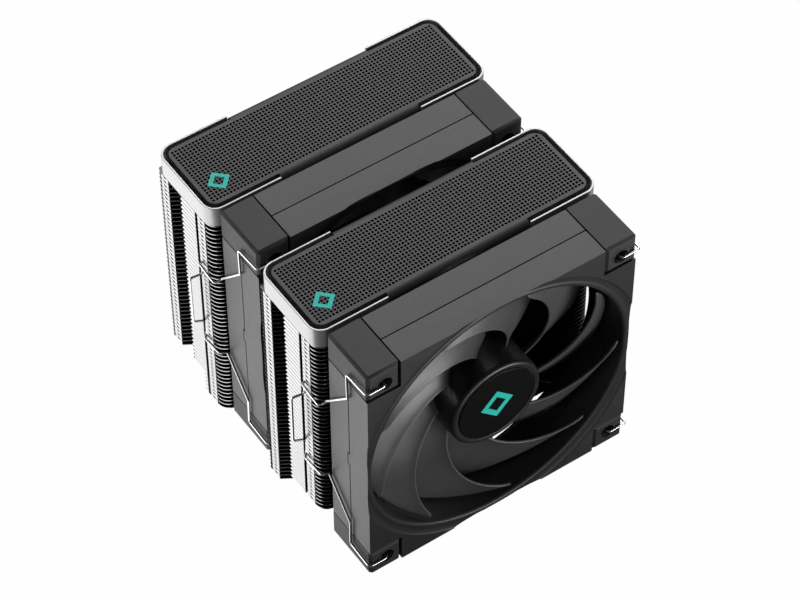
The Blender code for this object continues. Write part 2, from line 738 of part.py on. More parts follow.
def add_clip(name, side, front, tower_centre):
    half = clip_path(front, tower_centre)
    lower = [(x, y, -z) for x, y, z in reversed(half)]
    points = [(-side * x, y, z + FAN_Z) for x, y, z in half + lower]
    path = rounded_path(points, [0.8] * len(points), 1)
    origin = (side * HOLE_AT, front + CLIP_SWING_DEPTH, FAN_Z)
    add_body(name, sweep(path, WIRE_R, 5), steel(), origin)


def add_fan(prefix, front, tower_centre):
    add_shells(prefix, front)
    add_pads(prefix, front)
    add_rotor(prefix, front)
    add_motor(prefix, front)
    for side, label in ((-1, "left"), (1, "right")):
        add_clip(f"{prefix}_clip_{label}", side, front, tower_centre)


def main():
    clear_scene()
    add_base()
    add_bar()
    add_fixing_screws()
    add_spring_screws()
    add_pipes()
    add_fin_stack("front_fin_stack", -TOWER_Y, False)
    add_fin_stack("rear_fin_stack", TOWER_Y, True)
    add_cover("front", -TOWER_Y)
    add_cover("rear", TOWER_Y)
    add_fan("front_fan", FRONT_FAN_Y, -TOWER_Y)
    add_fan("mid_fan", MID_FAN_Y, TOWER_Y)


main()
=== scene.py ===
"""Looks of a dual-tower processor cooler with two fans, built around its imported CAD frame."""

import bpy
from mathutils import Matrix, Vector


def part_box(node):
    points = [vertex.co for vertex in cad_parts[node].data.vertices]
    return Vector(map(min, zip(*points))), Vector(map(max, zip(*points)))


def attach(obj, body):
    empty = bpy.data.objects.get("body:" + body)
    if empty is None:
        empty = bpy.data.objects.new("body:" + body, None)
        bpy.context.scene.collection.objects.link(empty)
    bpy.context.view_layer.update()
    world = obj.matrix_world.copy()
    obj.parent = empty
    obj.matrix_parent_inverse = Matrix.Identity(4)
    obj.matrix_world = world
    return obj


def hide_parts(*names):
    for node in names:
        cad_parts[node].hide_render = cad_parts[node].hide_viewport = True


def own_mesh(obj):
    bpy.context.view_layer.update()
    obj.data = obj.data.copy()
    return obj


bl_info = {
    "name": "Tower Cooler Looks",
    "version": (1, 0, 0),
    "blender": (4, 5, 0),
    "location": "View3D > Sidebar > Cooler",
    "description": "Builds the visible shells, fins, rotors, clips and finishes of a tower cooler",
    "category": "Object",
}

import math

import bmesh
import bpy
from mathutils import Matrix, Vector

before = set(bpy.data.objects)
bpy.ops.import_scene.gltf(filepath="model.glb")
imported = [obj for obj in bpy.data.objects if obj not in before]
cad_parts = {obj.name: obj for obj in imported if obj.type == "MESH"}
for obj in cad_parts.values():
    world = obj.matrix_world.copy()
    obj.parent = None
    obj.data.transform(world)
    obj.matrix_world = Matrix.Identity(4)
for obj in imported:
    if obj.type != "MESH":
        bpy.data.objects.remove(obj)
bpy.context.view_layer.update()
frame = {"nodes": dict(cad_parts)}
MM = 0.001
SOLID_GAP = 0.3  # between two CAD pieces that rest on each other
FANS = ("front", "mid")
TOWERS = ("front", "rear")
SIDES = ((-1, "left"), (1, "right"))
CORNERS = ((-1, 1, "top_left"), (1, 1, "top_right"), (-1, -1, "bottom_left"), (1, -1, "bottom_right"))
ALONG_Y = Matrix.Rotation(math.radians(-90), 4, "X")


def node_box(node):
    """Lowest and highest corner of a CAD node, in millimetres."""
    low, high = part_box(node)
    return low / MM, high / MM


# ---------------------------------------------------------------- settings


class CoolerSizes(bpy.types.PropertyGroup):
    """Sizes that shape the visible pieces."""

    mesh_bar: bpy.props.FloatProperty(
        name="Mesh bar", description="Width of the bars between two cover holes",
        default=0.00048, unit="LENGTH",
    )
    mesh_columns: bpy.props.IntProperty(
        name="Mesh columns", description="Holes along each cover", default=78, subtype="UNSIGNED"
    )
    mesh_rows: bpy.props.IntProperty(
        name="Mesh rows", description="Holes across each cover", default=20, subtype="UNSIGNED"
    )
    fin_count: bpy.props.IntProperty(
        name="Fins", description="Full fins in each tower", default=43, subtype="UNSIGNED"
    )
    fin_thick: bpy.props.FloatProperty(
        name="Fin thickness", description="Thickness of one sheet fin", default=0.0004, unit="LENGTH"
    )
    blade_count: bpy.props.IntProperty(
        name="Blades", description="Blades on each rotor", default=9, subtype="UNSIGNED"
    )
    blade_thick: bpy.props.FloatProperty(
        name="Blade thickness", description="Thickness of one blade", default=0.0011, unit="LENGTH"
    )
    wire: bpy.props.FloatProperty(
        name="Clip wire", description="Diameter of the clip wire", default=0.001, unit="LENGTH"
    )


class CoolerColours(bpy.types.PropertyGroup):
    """Colours of the main finishes."""

    frame: bpy.props.FloatVectorProperty(
        name="Fan frame", description="Moulded plastic of the fan frames",
        default=(0.024, 0.024, 0.0243), subtype="COLOR", min=0, max=1,
    )
    blade: bpy.props.FloatVectorProperty(
        name="Blades", description="Moulded plastic of the rotors",
        default=(0.09, 0.09, 0.0905), subtype="COLOR", min=0, max=1,
    )
    grille: bpy.props.FloatVectorProperty(
        name="Cover mesh", description="Painted mesh of the covers",
        default=(0.035, 0.035, 0.0355), subtype="COLOR", min=0, max=1,
    )
    cover: bpy.props.FloatVectorProperty(
        name="Cover rim", description="Silver coat of the cover trays",
        default=(0.6, 0.6, 0.605), subtype="COLOR", min=0, max=1,
    )
    fins: bpy.props.FloatVectorProperty(
        name="Fins", description="Bare aluminium sheet",
        default=(0.54, 0.54, 0.545), subtype="COLOR", min=0, max=1,
    )
    mark: bpy.props.FloatVectorProperty(
        name="Accent", description="Diamond motif on the hubs and covers",
        default=(0.035, 0.72, 0.61), subtype="COLOR", min=0, max=1,
    )


def sizes():
    return bpy.context.scene.cooler_sizes


def colours():
    return bpy.context.scene.cooler_colours


# ---------------------------------------------------------------- modelling helpers


def shift(x, y, z):
    """Matrix of a move in millimetres."""
    return Matrix.Translation((x * MM, y * MM, z * MM))


def activate(*objects):
    """Returns to object mode and selects only these objects, with the first one active."""
    if bpy.context.mode != "OBJECT":
        bpy.ops.object.mode_set(mode="OBJECT")
    bpy.ops.object.select_all(action="DESELECT")
    for obj in objects:
        obj.select_set(True)
    if objects:
        bpy.context.view_layer.objects.active = objects[0]


def named(name):
    obj = bpy.context.active_object
    obj.name = obj.data.name = name
    return obj


def edit(obj, kind, test):
    """Opens the mesh and selects the parts that pass the test."""
    activate(obj)
    bpy.ops.object.mode_set(mode="EDIT")
    bpy.ops.mesh.select_mode(type=kind)
    bpy.ops.mesh.select_all(action="DESELECT")
    mesh = bmesh.from_edit_mesh(obj.data)
    parts = {"VERT": mesh.verts, "EDGE": mesh.edges, "FACE": mesh.faces}[kind]
    for part in parts:
        if test(part):
            part.select_set(True)
    bmesh.update_edit_mesh(obj.data)


def close():
    bpy.ops.object.mode_set(mode="OBJECT")


def face_out(obj):
    edit(obj, "FACE", lambda face: True)
    bpy.ops.mesh.remove_doubles(threshold=0.002 * MM)
    bpy.ops.mesh.normals_make_consistent(inside=False)
    close()


def apply_modifier(obj, kind, **settings):
    activate(obj)
    step = obj.modifiers.new(kind.title(), kind)
    for key, value in settings.items():
        setattr(step, key, value)
    bpy.ops.object.modifier_apply(modifier=step.name)
    return obj


def carve(obj, cutter, operation="DIFFERENCE"):
    apply_modifier(obj, "BOOLEAN", object=cutter, operation=operation, solver="EXACT")
    bpy.data.objects.remove(cutter)
    return obj


def smooth(obj, angle=40):
    activate(obj)
    bpy.ops.object.shade_smooth_by_angle(angle=math.radians(angle))
    return apply_modifier(obj, "WEIGHTED_NORMAL", keep_sharp=True)


def soften(obj, width, segments=2, angle=38):
    """Rounds the sharp edges and shades the result smooth."""
    apply_modifier(
        obj, "BEVEL", width=width * MM, segments=segments,
        limit_method="ANGLE", angle_limit=math.radians(angle),
    )
    return smooth(obj)


def join(name, objects):
    activate(*objects)
    bpy.ops.object.join()
    return named(name)


def copy_of(obj, place):
    made = obj.copy()
    made.data = obj.data.copy()
    bpy.context.scene.collection.objects.link(made)
    made.data.transform(place)
    return made


def add_block(name, low, high):
    activate()
    low, high = Vector(low) * MM, Vector(high) * MM
    bpy.ops.mesh.primitive_cube_add(size=1, location=(low + high) / 2)
    obj = named(name)
    obj.scale = high - low
    bpy.ops.object.transform_apply(location=True, rotation=True, scale=True)
    return obj


def add_drum(name, radius, low, high, place, steps=64):
    activate()
    bpy.ops.mesh.primitive_cylinder_add(
        vertices=steps, radius=radius * MM, depth=(high - low) * MM,
        location=(0, 0, (low + high) / 2 * MM),
    )
    bpy.ops.object.transform_apply(location=True, rotation=True, scale=True)
    obj = named(name)
    obj.data.transform(place)
    return obj


def add_prism(name, outline, low, high, place=None):
    """Straight-sided piece: an outline of (x, y) points drawn up from low to high."""
    activate()
    bpy.ops.mesh.primitive_circle_add(vertices=len(outline), fill_type="NGON")
    obj = named(name)
    for vert, (x, y) in zip(obj.data.vertices, outline):
        vert.co = (x * MM, y * MM, low * MM)
    edit(obj, "FACE", lambda face: True)
    rise = {"value": (0, 0, (high - low) * MM)}
    bpy.ops.mesh.extrude_region_move(TRANSFORM_OT_translate=rise)
    close()
    if place is not None:
        obj.data.transform(place)
    face_out(obj)
    return obj


def add_turning(name, section, place, steps=96):
    """Turned piece: a closed section of (radius, height) points swept round the local z axis."""
    activate()
    bpy.ops.mesh.primitive_circle_add(vertices=len(section), fill_type="NOTHING")
    obj = named(name)
    for vert, (radius, height) in zip(obj.data.vertices, section):
        vert.co = (radius * MM, 0, height * MM)
    apply_modifier(
        obj, "SCREW", axis="Z", steps=steps, render_steps=steps, angle=math.tau,
        use_merge_vertices=True, merge_threshold=0.002 * MM,
    )
    obj.data.transform(place)
    face_out(obj)
    return obj


def arc(centre, radius, start, end, steps):
    """Points on a circle's arc, angles in degrees."""
    points = []
    for n in range(steps + 1):
        angle = math.radians(start + (end - start) * n / steps)
        points.append((centre[0] + radius * math.cos(angle), centre[1] + radius * math.sin(angle)))
    return points


def rounded_outline(half_x, half_y, radius, centre_y, steps=10):
    """Outline of a rectangle with round corners."""
    x, y = half_x - radius, half_y - radius
    points = []
    for n, (sx, sy) in enumerate(((1, 1), (-1, 1), (-1, -1), (1, -1))):
        points += arc((sx * x, centre_y + sy * y), radius, 90 * n, 90 * n + 90, steps)
    return points


def rounded_path(points, radii, segments, share=0.48):
    """The polyline with an arc at each corner, in `segments` steps for a right-angled turn."""
    points = [Vector(p) for p in points]
    path = [points[0]]
    for before, corner, after, radius in zip(points, points[1:], points[2:], radii):
        back = (before - corner).normalized()
        ahead = (after - corner).normalized()
        half = back.angle(ahead) / 2
        leg = min((before - corner).length, (after - corner).length)
        reach = min(radius / math.tan(half), share * leg)
        middle = (back + ahead).normalized()
        centre = corner + middle * (reach / math.cos(half))
        start = corner + back * reach - centre
        end = corner + ahead * reach - centre
        steps = max(2, round(segments * (math.pi - 2 * half) / (math.pi / 2)))
        for step in range(steps + 1):
            path.append(centre + start.slerp(end, step / steps) * start.length)
    path.append(points[-1])
    return path


def add_wire(name, path, radius, sides=3):
    """Round bar along a path of points in millimetres; sides counts the steps of a quarter turn."""
    activate()
    bpy.ops.curve.primitive_nurbs_path_add()
    obj = named(name)
    curve = obj.data
    curve.splines.clear()
    spline = curve.splines.new("POLY")
    spline.points.add(len(path) - 1)
    for point, spot in zip(spline.points, path):
        point.co = (*(Vector(spot) * MM), 1)
    curve.bevel_depth = radius * MM
    curve.bevel_resolution = sides
    curve.use_fill_caps = True
    bpy.ops.object.convert(target="MESH")
    obj = named(name)
    face_out(obj)
    return smooth(obj, 60)


def finish_piece(obj, look, body, slot, *nodes):
    """Gives the piece its finish, ties it to its CAD body and hides the nodes that it stands for."""
    if not obj.data.polygons:
        raise RuntimeError(f"{obj.name} came out with no faces")
    obj.data.materials.clear()
    obj.data.materials.append(finish(look))
    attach(obj, body)
    if nodes:
        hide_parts(*nodes)


# ---------------------------------------------------------------- finishes


def new_group(name, inputs, outputs):
    group = bpy.data.node_groups.new(name, "ShaderNodeTree")
    for label, kind, value in inputs:
        socket = group.interface.new_socket(label, in_out="INPUT", socket_type=kind)
        socket.default_value = value
    for label, kind in outputs:
        group.interface.new_socket(label, in_out="OUTPUT", socket_type=kind)
    return group, group.nodes.new("NodeGroupInput"), group.nodes.new("NodeGroupOutput")


def node_in(tree, kind, **settings):
    node = tree.nodes.new(kind)
    for key, value in settings.items():
        setattr(node, key, value)
    return node


def link(tree, source, output, target, socket):
    tree.links.new(source.outputs[output], target.inputs[socket])


def noise_node(tree, detail, roughness=0.5):
    node = node_in(tree, "ShaderNodeTexNoise")
    node.inputs["Detail"].default_value = detail
    node.inputs["Roughness"].default_value = roughness
    return node


def range_node(tree, low, high, to_low=0.0, to_high=1.0):
    node = node_in(tree, "ShaderNodeMapRange")
    for label, value in zip(("From Min", "From Max", "To Min", "To Max"), (low, high, to_low, to_high)):
        node.inputs[label].default_value = value
    return node


def grain_group():
    """Fine moulded or painted grain, with broad cloudy variation."""
    inputs = [("Grain per metre", "NodeSocketFloat", 5000.0), ("Cloud per metre", "NodeSocketFloat", 60.0)]
    outputs = [("Grain", "NodeSocketFloat"), ("Cloud", "NodeSocketFloat")]
    group, start, end = new_group("Fine Grain", inputs, outputs)
    place = node_in(group, "ShaderNodeTexCoord")
    for index, detail in enumerate((2.0, 4.0)):
        noise = noise_node(group, detail)
        spread = range_node(group, 0.3, 0.7)
        link(group, place, "Object", noise, "Vector")
        link(group, start, index, noise, "Scale")
        link(group, noise, "Fac", spread, "Value")
        link(group, spread, "Result", end, index)
    return group


def lines_group():
    """Long fine lines of rolled sheet, drawn wire or a turned face."""
    inputs = [("Stretch", "NodeSocketVector", (1.0, 1.0, 1.0))]
    inputs.append(("Lines per metre", "NodeSocketFloat", 4000.0))
    group, start, end = new_group("Drawn Lines", inputs, [("Lines", "NodeSocketFloat")])
    place = node_in(group, "ShaderNodeTexCoord")
    squeeze = node_in(group, "ShaderNodeVectorMath", operation="MULTIPLY")
    noise = noise_node(group, 3.0)
    spread = range_node(group, 0.3, 0.7)
    link(group, place, "Object", squeeze, 0)
    link(group, start, "Stretch", squeeze, 1)
    link(group, squeeze, "Vector", noise, "Vector")
    link(group, start, "Lines per metre", noise, "Scale")
    link(group, noise, "Fac", spread, "Value")
    link(group, spread, "Result", end, 0)
    return group


def edge_highlight_group():
    """Mask of the convex edges, broken up a little, where a painted highlight lightens the finish."""
    inputs = [("Start", "NodeSocketFloat", 0.52), ("Full", "NodeSocketFloat", 0.62)]
    group, start, end = new_group("Edge Highlight", inputs, [("Edge", "NodeSocketFloat")])
    shape = node_in(group, "ShaderNodeNewGeometry")
    place = node_in(group, "ShaderNodeTexCoord")
    spread = range_node(group, 0.52, 0.62)
    noise = noise_node(group, 4.0, 0.6)
    noise.inputs["Scale"].default_value = 350.0
    breakup = range_node(group, 0.25, 0.65, 0.35, 1.0)
    product = node_in(group, "ShaderNodeMath", operation="MULTIPLY")
    link(group, shape, "Pointiness", spread, "Value")
    link(group, start, "Start", spread, "From Min")
    link(group, start, "Full", spread, "From Max")
    link(group, place, "Object", noise, "Vector")
    link(group, noise, "Fac", breakup, "Value")
    link(group, spread, "Result", product, 0)
    link(group, breakup, "Result", product, 1)
    link(group, product, "Value", end, 0)
    return group


def group_node(tree, name, maker):
    node = tree.nodes.new("ShaderNodeGroup")
    node.node_tree = bpy.data.node_groups.get(name) or maker()
    return node


def mix_colour(tree, factor, first, second):
    """Blend of two colours, each a socket or a plain colour."""
    node = node_in(tree, "ShaderNodeMix", data_type="RGBA")
    tree.links.new(factor, node.inputs[0])
    for socket, value in ((node.inputs[6], first), (node.inputs[7], second)):
        if isinstance(value, bpy.types.NodeSocket):
            tree.links.new(value, socket)
        else:
            socket.default_value = (*value, 1)
    return node.outputs[2]


def shade(colour, factor):
    return tuple(min(1.0, part * factor) for part in colour)


def new_finish(name):
    made = bpy.data.materials.new(name)
    made.use_nodes = True
    return made, made.node_tree, made.node_tree.nodes["Principled BSDF"]


def roughen(tree, texture, pattern, shader, low, high):
    """Lets the roughness run from low to high with the pattern."""
    uneven = range_node(tree, 0, 1, low, high)
    link(tree, texture, pattern, uneven, "Value")
    link(tree, uneven, "Result", shader, "Roughness")


def emboss(tree, texture, pattern, shader, strength, depth):
    """Raises the pattern by a depth in millimetres."""
    bump = node_in(tree, "ShaderNodeBump")
    bump.inputs["Strength"].default_value = strength
    bump.inputs["Distance"].default_value = depth * MM
    link(tree, texture, pattern, bump, "Height")
    link(tree, bump, "Normal", shader, "Normal")


def moulded(name, colour, roughness, specular, grain=6000.0, depth=0.02, edge_light=1.8, spread=0.16):
    """Moulded or painted surface: fine grain, cloudy tone and a painted highlight along its convex edges."""
    made, tree, shader = new_finish(name)
    texture = group_node(tree, "Fine Grain", grain_group)
    texture.inputs["Grain per metre"].default_value = grain
    cloudy = mix_colour(tree, texture.outputs["Cloud"], shade(colour, 1 - spread), shade(colour, 1 + spread))
    # painted highlight: the convex edges are lightened by a set factor
    edges = group_node(tree, "Edge Highlight", edge_highlight_group)
    edge_lit = mix_colour(tree, edges.outputs["Edge"], cloudy, shade(colour, edge_light))
    tree.links.new(edge_lit, shader.inputs["Base Color"])
    roughen(tree, texture, "Grain", shader, roughness - 0.05, roughness + 0.05)
    emboss(tree, texture, "Grain", shader, 0.5, depth)
    shader.inputs["Specular IOR Level"].default_value = specular
    return made


def drawn(name, colour, roughness, stretch, metallic=1.0, lines=3000.0, depth=0.004, spread=0.07):
    """Metal with long fine lines, slightly uneven in tone and gloss."""
    made, tree, shader = new_finish(name)
    texture = group_node(tree, "Drawn Lines", lines_group)
    texture.inputs["Stretch"].default_value = stretch
    texture.inputs["Lines per metre"].default_value = lines
    clouds = group_node(tree, "Fine Grain", grain_group)
    toned = mix_colour(tree, clouds.outputs["Cloud"], shade(colour, 1 - spread), colour)
    lined = mix_colour(tree, texture.outputs["Lines"], shade(colour, 1 - spread), toned)
    tree.links.new(lined, shader.inputs["Base Color"])
    roughen(tree, texture, "Lines", shader, roughness - 0.04, roughness + 0.06)
    emboss(tree, texture, "Lines", shader, 0.35, depth)
    shader.inputs["Metallic"].default_value = metallic
    return made


def fin_metal(name):
    """Rolled sheet whose flat faces, turned up or down, carry painted shade, darker than its folded edges."""
    made = drawn(name, colours().fins, 0.24, (0.03, 1.0, 1.0))
    tree, shader = made.node_tree, made.node_tree.nodes["Principled BSDF"]
    bright = shader.inputs["Base Color"].links[0].from_socket
    place = node_in(tree, "ShaderNodeTexCoord")
    split = node_in(tree, "ShaderNodeSeparateXYZ")
    size = node_in(tree, "ShaderNodeMath", operation="ABSOLUTE")
    link(tree, place, "Normal", split, "Vector")
    link(tree, split, "Z", size, 0)
    # painted shade: the flat faces, which face up or down between neighbouring fins, are darkened
    shaded_flats = mix_colour(tree, size.outputs["Value"], bright, shade(colours().fins, FIN_SHADE))
    tree.links.new(shaded_flats, shader.inputs["Base Color"])
    return made


def finish(name):
    """The finish of that name, made the first time it is asked for."""
    return bpy.data.materials.get(name) or FINISHES[name](name)


FIN_SHADE = 0.16  # painted shade: tone of the fins' flat faces and recessed edges against their folded edges
FINISHES = {
    "fan_plastic": lambda name: moulded(name, colours().frame, 0.42, 0.55),
    "blade_plastic": lambda name: moulded(name, colours().blade, 0.38, 0.7, depth=0.012, edge_light=1.5),
    "hub_plastic": lambda name: moulded(name, (0.018, 0.018, 0.018), 0.32, 0.6, depth=0.008),
    "pad_rubber": lambda name: moulded(name, (0.03, 0.03, 0.03), 0.56, 0.5, 4000.0, depth=0.03, edge_light=1.6),
    "mesh_paint": lambda name: moulded(name, colours().grille, 0.38, 0.45, 7000.0, depth=0.01, edge_light=1.2),
    "plate_paint": lambda name: moulded(name, (0.05, 0.05, 0.051), 0.45, 0.4, 7000.0, depth=0.015, edge_light=2.0),
    # painted shade for the inside of the mesh holes
    "hole_shade": lambda name: moulded(name, (0.004, 0.004, 0.004), 0.9, 0.05, 5000.0, depth=0.01, edge_light=1.0),
    "badge_black": lambda name: moulded(
        name, (0.005, 0.005, 0.0047), 0.36, 0.12, 7000.0, depth=0.006, edge_light=1.4
    ),
    "accent_teal": lambda name: moulded(name, colours().mark, 0.5, 0.3, depth=0.006, edge_light=1.1, spread=0.05),
    "silver_coat": lambda name: drawn(
        name, colours().cover, 0.3, (1.0, 1.0, 1.0), metallic=0.45, lines=6000.0, depth=0.003, spread=0.03
    ),
    "fin_sheet": fin_metal,
    # painted shade for the fin edges set back in the notch, wall and groove span
    "fin_recess_shade": lambda name: drawn(name, shade(colours().fins, FIN_SHADE), 0.4, (0.03, 1.0, 1.0)),
    "nickel": lambda name: drawn(name, (0.66, 0.65, 0.63), 0.22, (1.0, 1.0, 0.05)),
    "clip_steel": lambda name: drawn(name, (0.84, 0.84, 0.85), 0.16, (1.0, 1.0, 0.1), depth=0.002),
    "bar_steel": lambda name: drawn(name, (0.7, 0.7, 0.71), 0.28, (0.05, 1.0, 1.0)),
    "block_aluminium": lambda name: drawn(name, (0.78, 0.78, 0.79), 0.35, (0.05, 1.0, 1.0)),
    "dark_oxide": lambda name: drawn(name, (0.1, 0.1, 0.1), 0.5, (1.0, 1.0, 1.0)),
    "bronze": lambda name: drawn(name, (0.72, 0.5, 0.24), 0.35, (1.0, 0.1, 1.0)),
    "board_mask": lambda name: moulded(name, (0.02, 0.12, 0.06), 0.4, 0.5, 3000.0, depth=0.01),
}


# ---------------------------------------------------------------- covers

RIM_WALL = 0.85
RIM_CORNER = 6.0
GAP_HALF = 31.7  # half the length of the gap in a tray's long side
GAP_SILL = 3.4
PLATE_CORNER = 4.0
PLATE_INSET = 1.7
LIP_HALF = 31.4
LIP_ROUND = 2.9
LIP_ROOT = 1.2
LIP_TALL = 5.6
MESH_MARGIN_X = 1.3
MESH_MARGIN_Y = 1.5
MESH_DEEP = 2.4
HOLE_PAINTED = 0.5  # painted upper part of a mesh hole's wall
# depth of the lower part of a hole's wall, which with the hole's floor carries painted shade
HOLE_SHADE_DEPTH = 1.4
COVER_MARK = 7.0
COVER_STROKE = 1.7
COVER_MARK_X = 7.6  # from the corner of the mesh
COVER_MARK_Y = 8.2


def cover_tray(tower):
    """Silver tray with a wide gap in each long side."""
    node = f"{tower}_cover_tray"
    low, high = node_box(node)
    floor = node_box(f"{tower}_cover_grille")[0].z - SOLID_GAP
    centre_y = (low.y + high.y) / 2
    half_x, half_y = (high.x - low.x) / 2, (high.y - low.y) / 2
    tray = add_prism(f"{tower}_tray", rounded_outline(half_x, half_y, RIM_CORNER, centre_y), low.z, high.z)
    inner = rounded_outline(half_x - RIM_WALL, half_y - RIM_WALL, RIM_CORNER - RIM_WALL, centre_y)
    carve(tray, add_prism("tray_cutter", inner, floor, high.z + 1))
    gap_low = (-GAP_HALF, low.y - 1, low.z + GAP_SILL)
    carve(tray, add_block("gap_cutter", gap_low, (GAP_HALF, high.y + 1, high.z + 1)))
    soften(tray, 0.3)
    finish_piece(tray, "silver_coat", "heatsink", "silver_cover", node)


def cover_lip(side, outer, top):
    """Sloped lip that fills the tray's gap, as (y, z) points drawn along x."""
    root = side * (outer - LIP_ROUND - LIP_ROOT)
    section = [(root, top - LIP_TALL), (root, top)]
    for y, z in arc((0, 0), LIP_ROUND, 90, 0, 8):
        section.append((side * (outer - LIP_ROUND + y), top - LIP_ROUND + z))
    section.append((side * outer, top - LIP_TALL))
    along_x = Matrix(((0, 0, 1, 0), (1, 0, 0, 0), (0, 1, 0, 0), (0, 0, 0, 1)))
    return add_prism("lip", section, -LIP_HALF, LIP_HALF, along_x)


def cover_plate(tower):
    """Black surround of the mesh, with its two lips; returns the size and place of the mesh."""
    node = f"{tower}_cover_grille"
    low, high = node_box(node)
    tray_low, tray_high = node_box(f"{tower}_cover_tray")
    centre_y = (tray_low.y + tray_high.y) / 2
    half_x = (high.x - low.x) / 2
    reach_y = (tray_high.y - tray_low.y) / 2
    half_y = reach_y - RIM_WALL - PLATE_INSET
    outline = rounded_outline(half_x, half_y, PLATE_CORNER, 0)
    plate = add_prism(f"{tower}_grille", outline, low.z, high.z)
    for side in (-1, 1):
        carve(plate, cover_lip(side, reach_y, high.z), "UNION")
    mesh_x, mesh_y = half_x - MESH_MARGIN_X, half_y - MESH_MARGIN_Y
    pocket_low, pocket_high = (-mesh_x, -mesh_y, high.z - MESH_DEEP), (mesh_x, mesh_y, high.z + 1)
    carve(plate, add_block("pocket_cutter", pocket_low, pocket_high))
    plate.data.transform(shift(0, centre_y, 0))
    soften(plate, 0.25)
    finish_piece(plate, "plate_paint", "heatsink", "black_plastic", node)
    return mesh_x, mesh_y, high.z, centre_y


def draw_down(depth):
    bpy.ops.mesh.extrude_region_move(TRANSFORM_OT_translate={"value": (0, 0, -depth * MM)})


def cover_mesh(tower, half_x, half_y, top, centre_y):
    """Perforated field: a slab whose top is divided in cells, each with a square hole."""
    activate()
    columns, rows = sizes().mesh_columns, sizes().mesh_rows
    bpy.ops.mesh.primitive_grid_add(x_subdivisions=columns, y_subdivisions=rows, size=1)
    slab = named(f"{tower}_mesh")
    slab.scale = (2 * half_x * MM, 2 * half_y * MM, 1)
    slab.location = (0, centre_y * MM, top * MM)
    bpy.ops.object.transform_apply(location=True, rotation=True, scale=True)
    edit(slab, "FACE", lambda face: True)
    bpy.ops.mesh.inset(use_individual=True, thickness=sizes().mesh_bar / 2, depth=0)
    draw_down(HOLE_PAINTED)
    draw_down(HOLE_SHADE_DEPTH)
    close()
    edit(slab, "EDGE", lambda edge: edge.is_boundary)
    draw_down(MESH_DEEP)
    bpy.ops.mesh.edge_face_add()
    bpy.ops.mesh.select_all(action="SELECT")
    bpy.ops.mesh.normals_make_consistent(inside=False)
    close()
    finish_piece(slab, "mesh_paint", "heatsink", "black_plastic")
    # painted shade: the lower hole walls and the hole floors take a near-black finish for the dark inside
    # seen through the mesh
    slab.data.materials.append(finish("hole_shade"))
    for face in slab.data.polygons:
        face.material_index = 1 if face.center.z < (top - HOLE_PAINTED - 0.05) * MM else 0


def diamond(name, reach, low, high):
    return add_prism(name, [(reach, 0), (0, reach), (-reach, 0), (0, -reach)], low, high)


def add_mark(name, size, stroke, thick, place, body):
    """Hollow diamond standing a little proud of its face."""
    mark = diamond(name, size / math.sqrt(2), 0, thick)
    inner = size / math.sqrt(2) - stroke * math.sqrt(2)
    carve(mark, diamond("mark_cutter", inner, -1, thick + 1))
    mark.data.transform(place)
    soften(mark, 0.05, 1)
    finish_piece(mark, "accent_teal", body, "gloss_badge")


class COOLER_OT_covers(bpy.types.Operator):
    """Builds both top covers with their mesh fields and corner motifs"""

    bl_idname = "cooler.covers"
    bl_label = "Covers"

    def execute(self, context):
        for tower in TOWERS:
            cover_tray(tower)
            half_x, half_y, top, centre_y = cover_plate(tower)
            cover_mesh(tower, half_x, half_y, top, centre_y)
            place = shift(COVER_MARK_X - half_x, centre_y - half_y + COVER_MARK_Y, top - 0.3)
            add_mark(f"{tower}_cover_motif", COVER_MARK, COVER_STROKE, 0.4, place, "heatsink")
        return {"FINISHED"}


# ---------------------------------------------------------------- fin stacks

# Depths are measured forward from a tower's back face
BACK_CORNER = 1.0
FRONT_CORNER = 5.2
NOTCH = (7.8, 10.6, 16.1)  # start, deepest point and end
NOTCH_DEEP = 4.6
WALL = (16.1, 26.4)
GROOVE = (26.4, 28.2)
GROOVE_DEEP = 2.2
TABS = ((2.7, 7.6), (28.2, 33.2))
TAB_THICK = 0.5
TAB_PROUD = 0.2
TAB_SEAM = 0.34
TOOTH = 1.3
SLIT_WIDE = 1.5
SLIT_TALL = 0.7
FIRST_FIN = 51.5
LOWER_FINS = 5  # short fins under the first full one
LOWER_DEEP = 15.0
PIPE_COUNT = 6
PIPE_PITCH = 12.0
PIPE_CLEAR = 3.3


def fin_side(half, back, depth):
    """Right-hand edge of one fin, from the front to the back."""
    right = arc((half - FRONT_CORNER, back - depth + FRONT_CORNER), FRONT_CORNER, -90, 0, 8)
    right += [(half, back - GROOVE[1]), (half - GROOVE_DEEP, back - GROOVE[1])]
    right += [(half - GROOVE_DEEP, back - GROOVE[0]), (half, back - GROOVE[0])]
    right += [(half, back - NOTCH[2]), (half - NOTCH_DEEP, back - NOTCH[1]), (half, back - NOTCH[0])]
    return right + arc((half - BACK_CORNER, back - BACK_CORNER), BACK_CORNER, 0, 90, 3)


def mirrored(right):
    return right + [(-x, y) for x, y in reversed(right)]


def lean(tab, low, first):
    """Moves the upper back edge of a tab forward, like a tooth."""
    for vert in tab.data.vertices:
        if vert.co.z > (low + 0.05) * MM and vert.co.y > (first + 1) * MM:
            vert.co.y -= TOOTH * MM


def tab_boxes(half, spans, slit, low, high):
    """Folded edges of one fin on both sides: with a small slit, or slanted at the back like a tooth."""
    boxes = []
    for start, end in spans:
        slit_start = (start + end) / 2 - SLIT_WIDE / 2
        slit_end = slit_start + SLIT_WIDE
        parts = [(start, end, high)]
        if slit:
            parts = [(start, slit_start, high), (slit_end, end, high)]
            parts.append((slit_start, slit_end, high - SLIT_TALL))
        for first, last, top in parts:
            for side in (-1, 1):
                edges = sorted((side * half, side * (half - TAB_THICK)))
                tab = add_block("tab", (edges[0], first, low), (edges[1], last, top))
                if not slit:
                    lean(tab, low, first)
                boxes.append(tab)
    return boxes


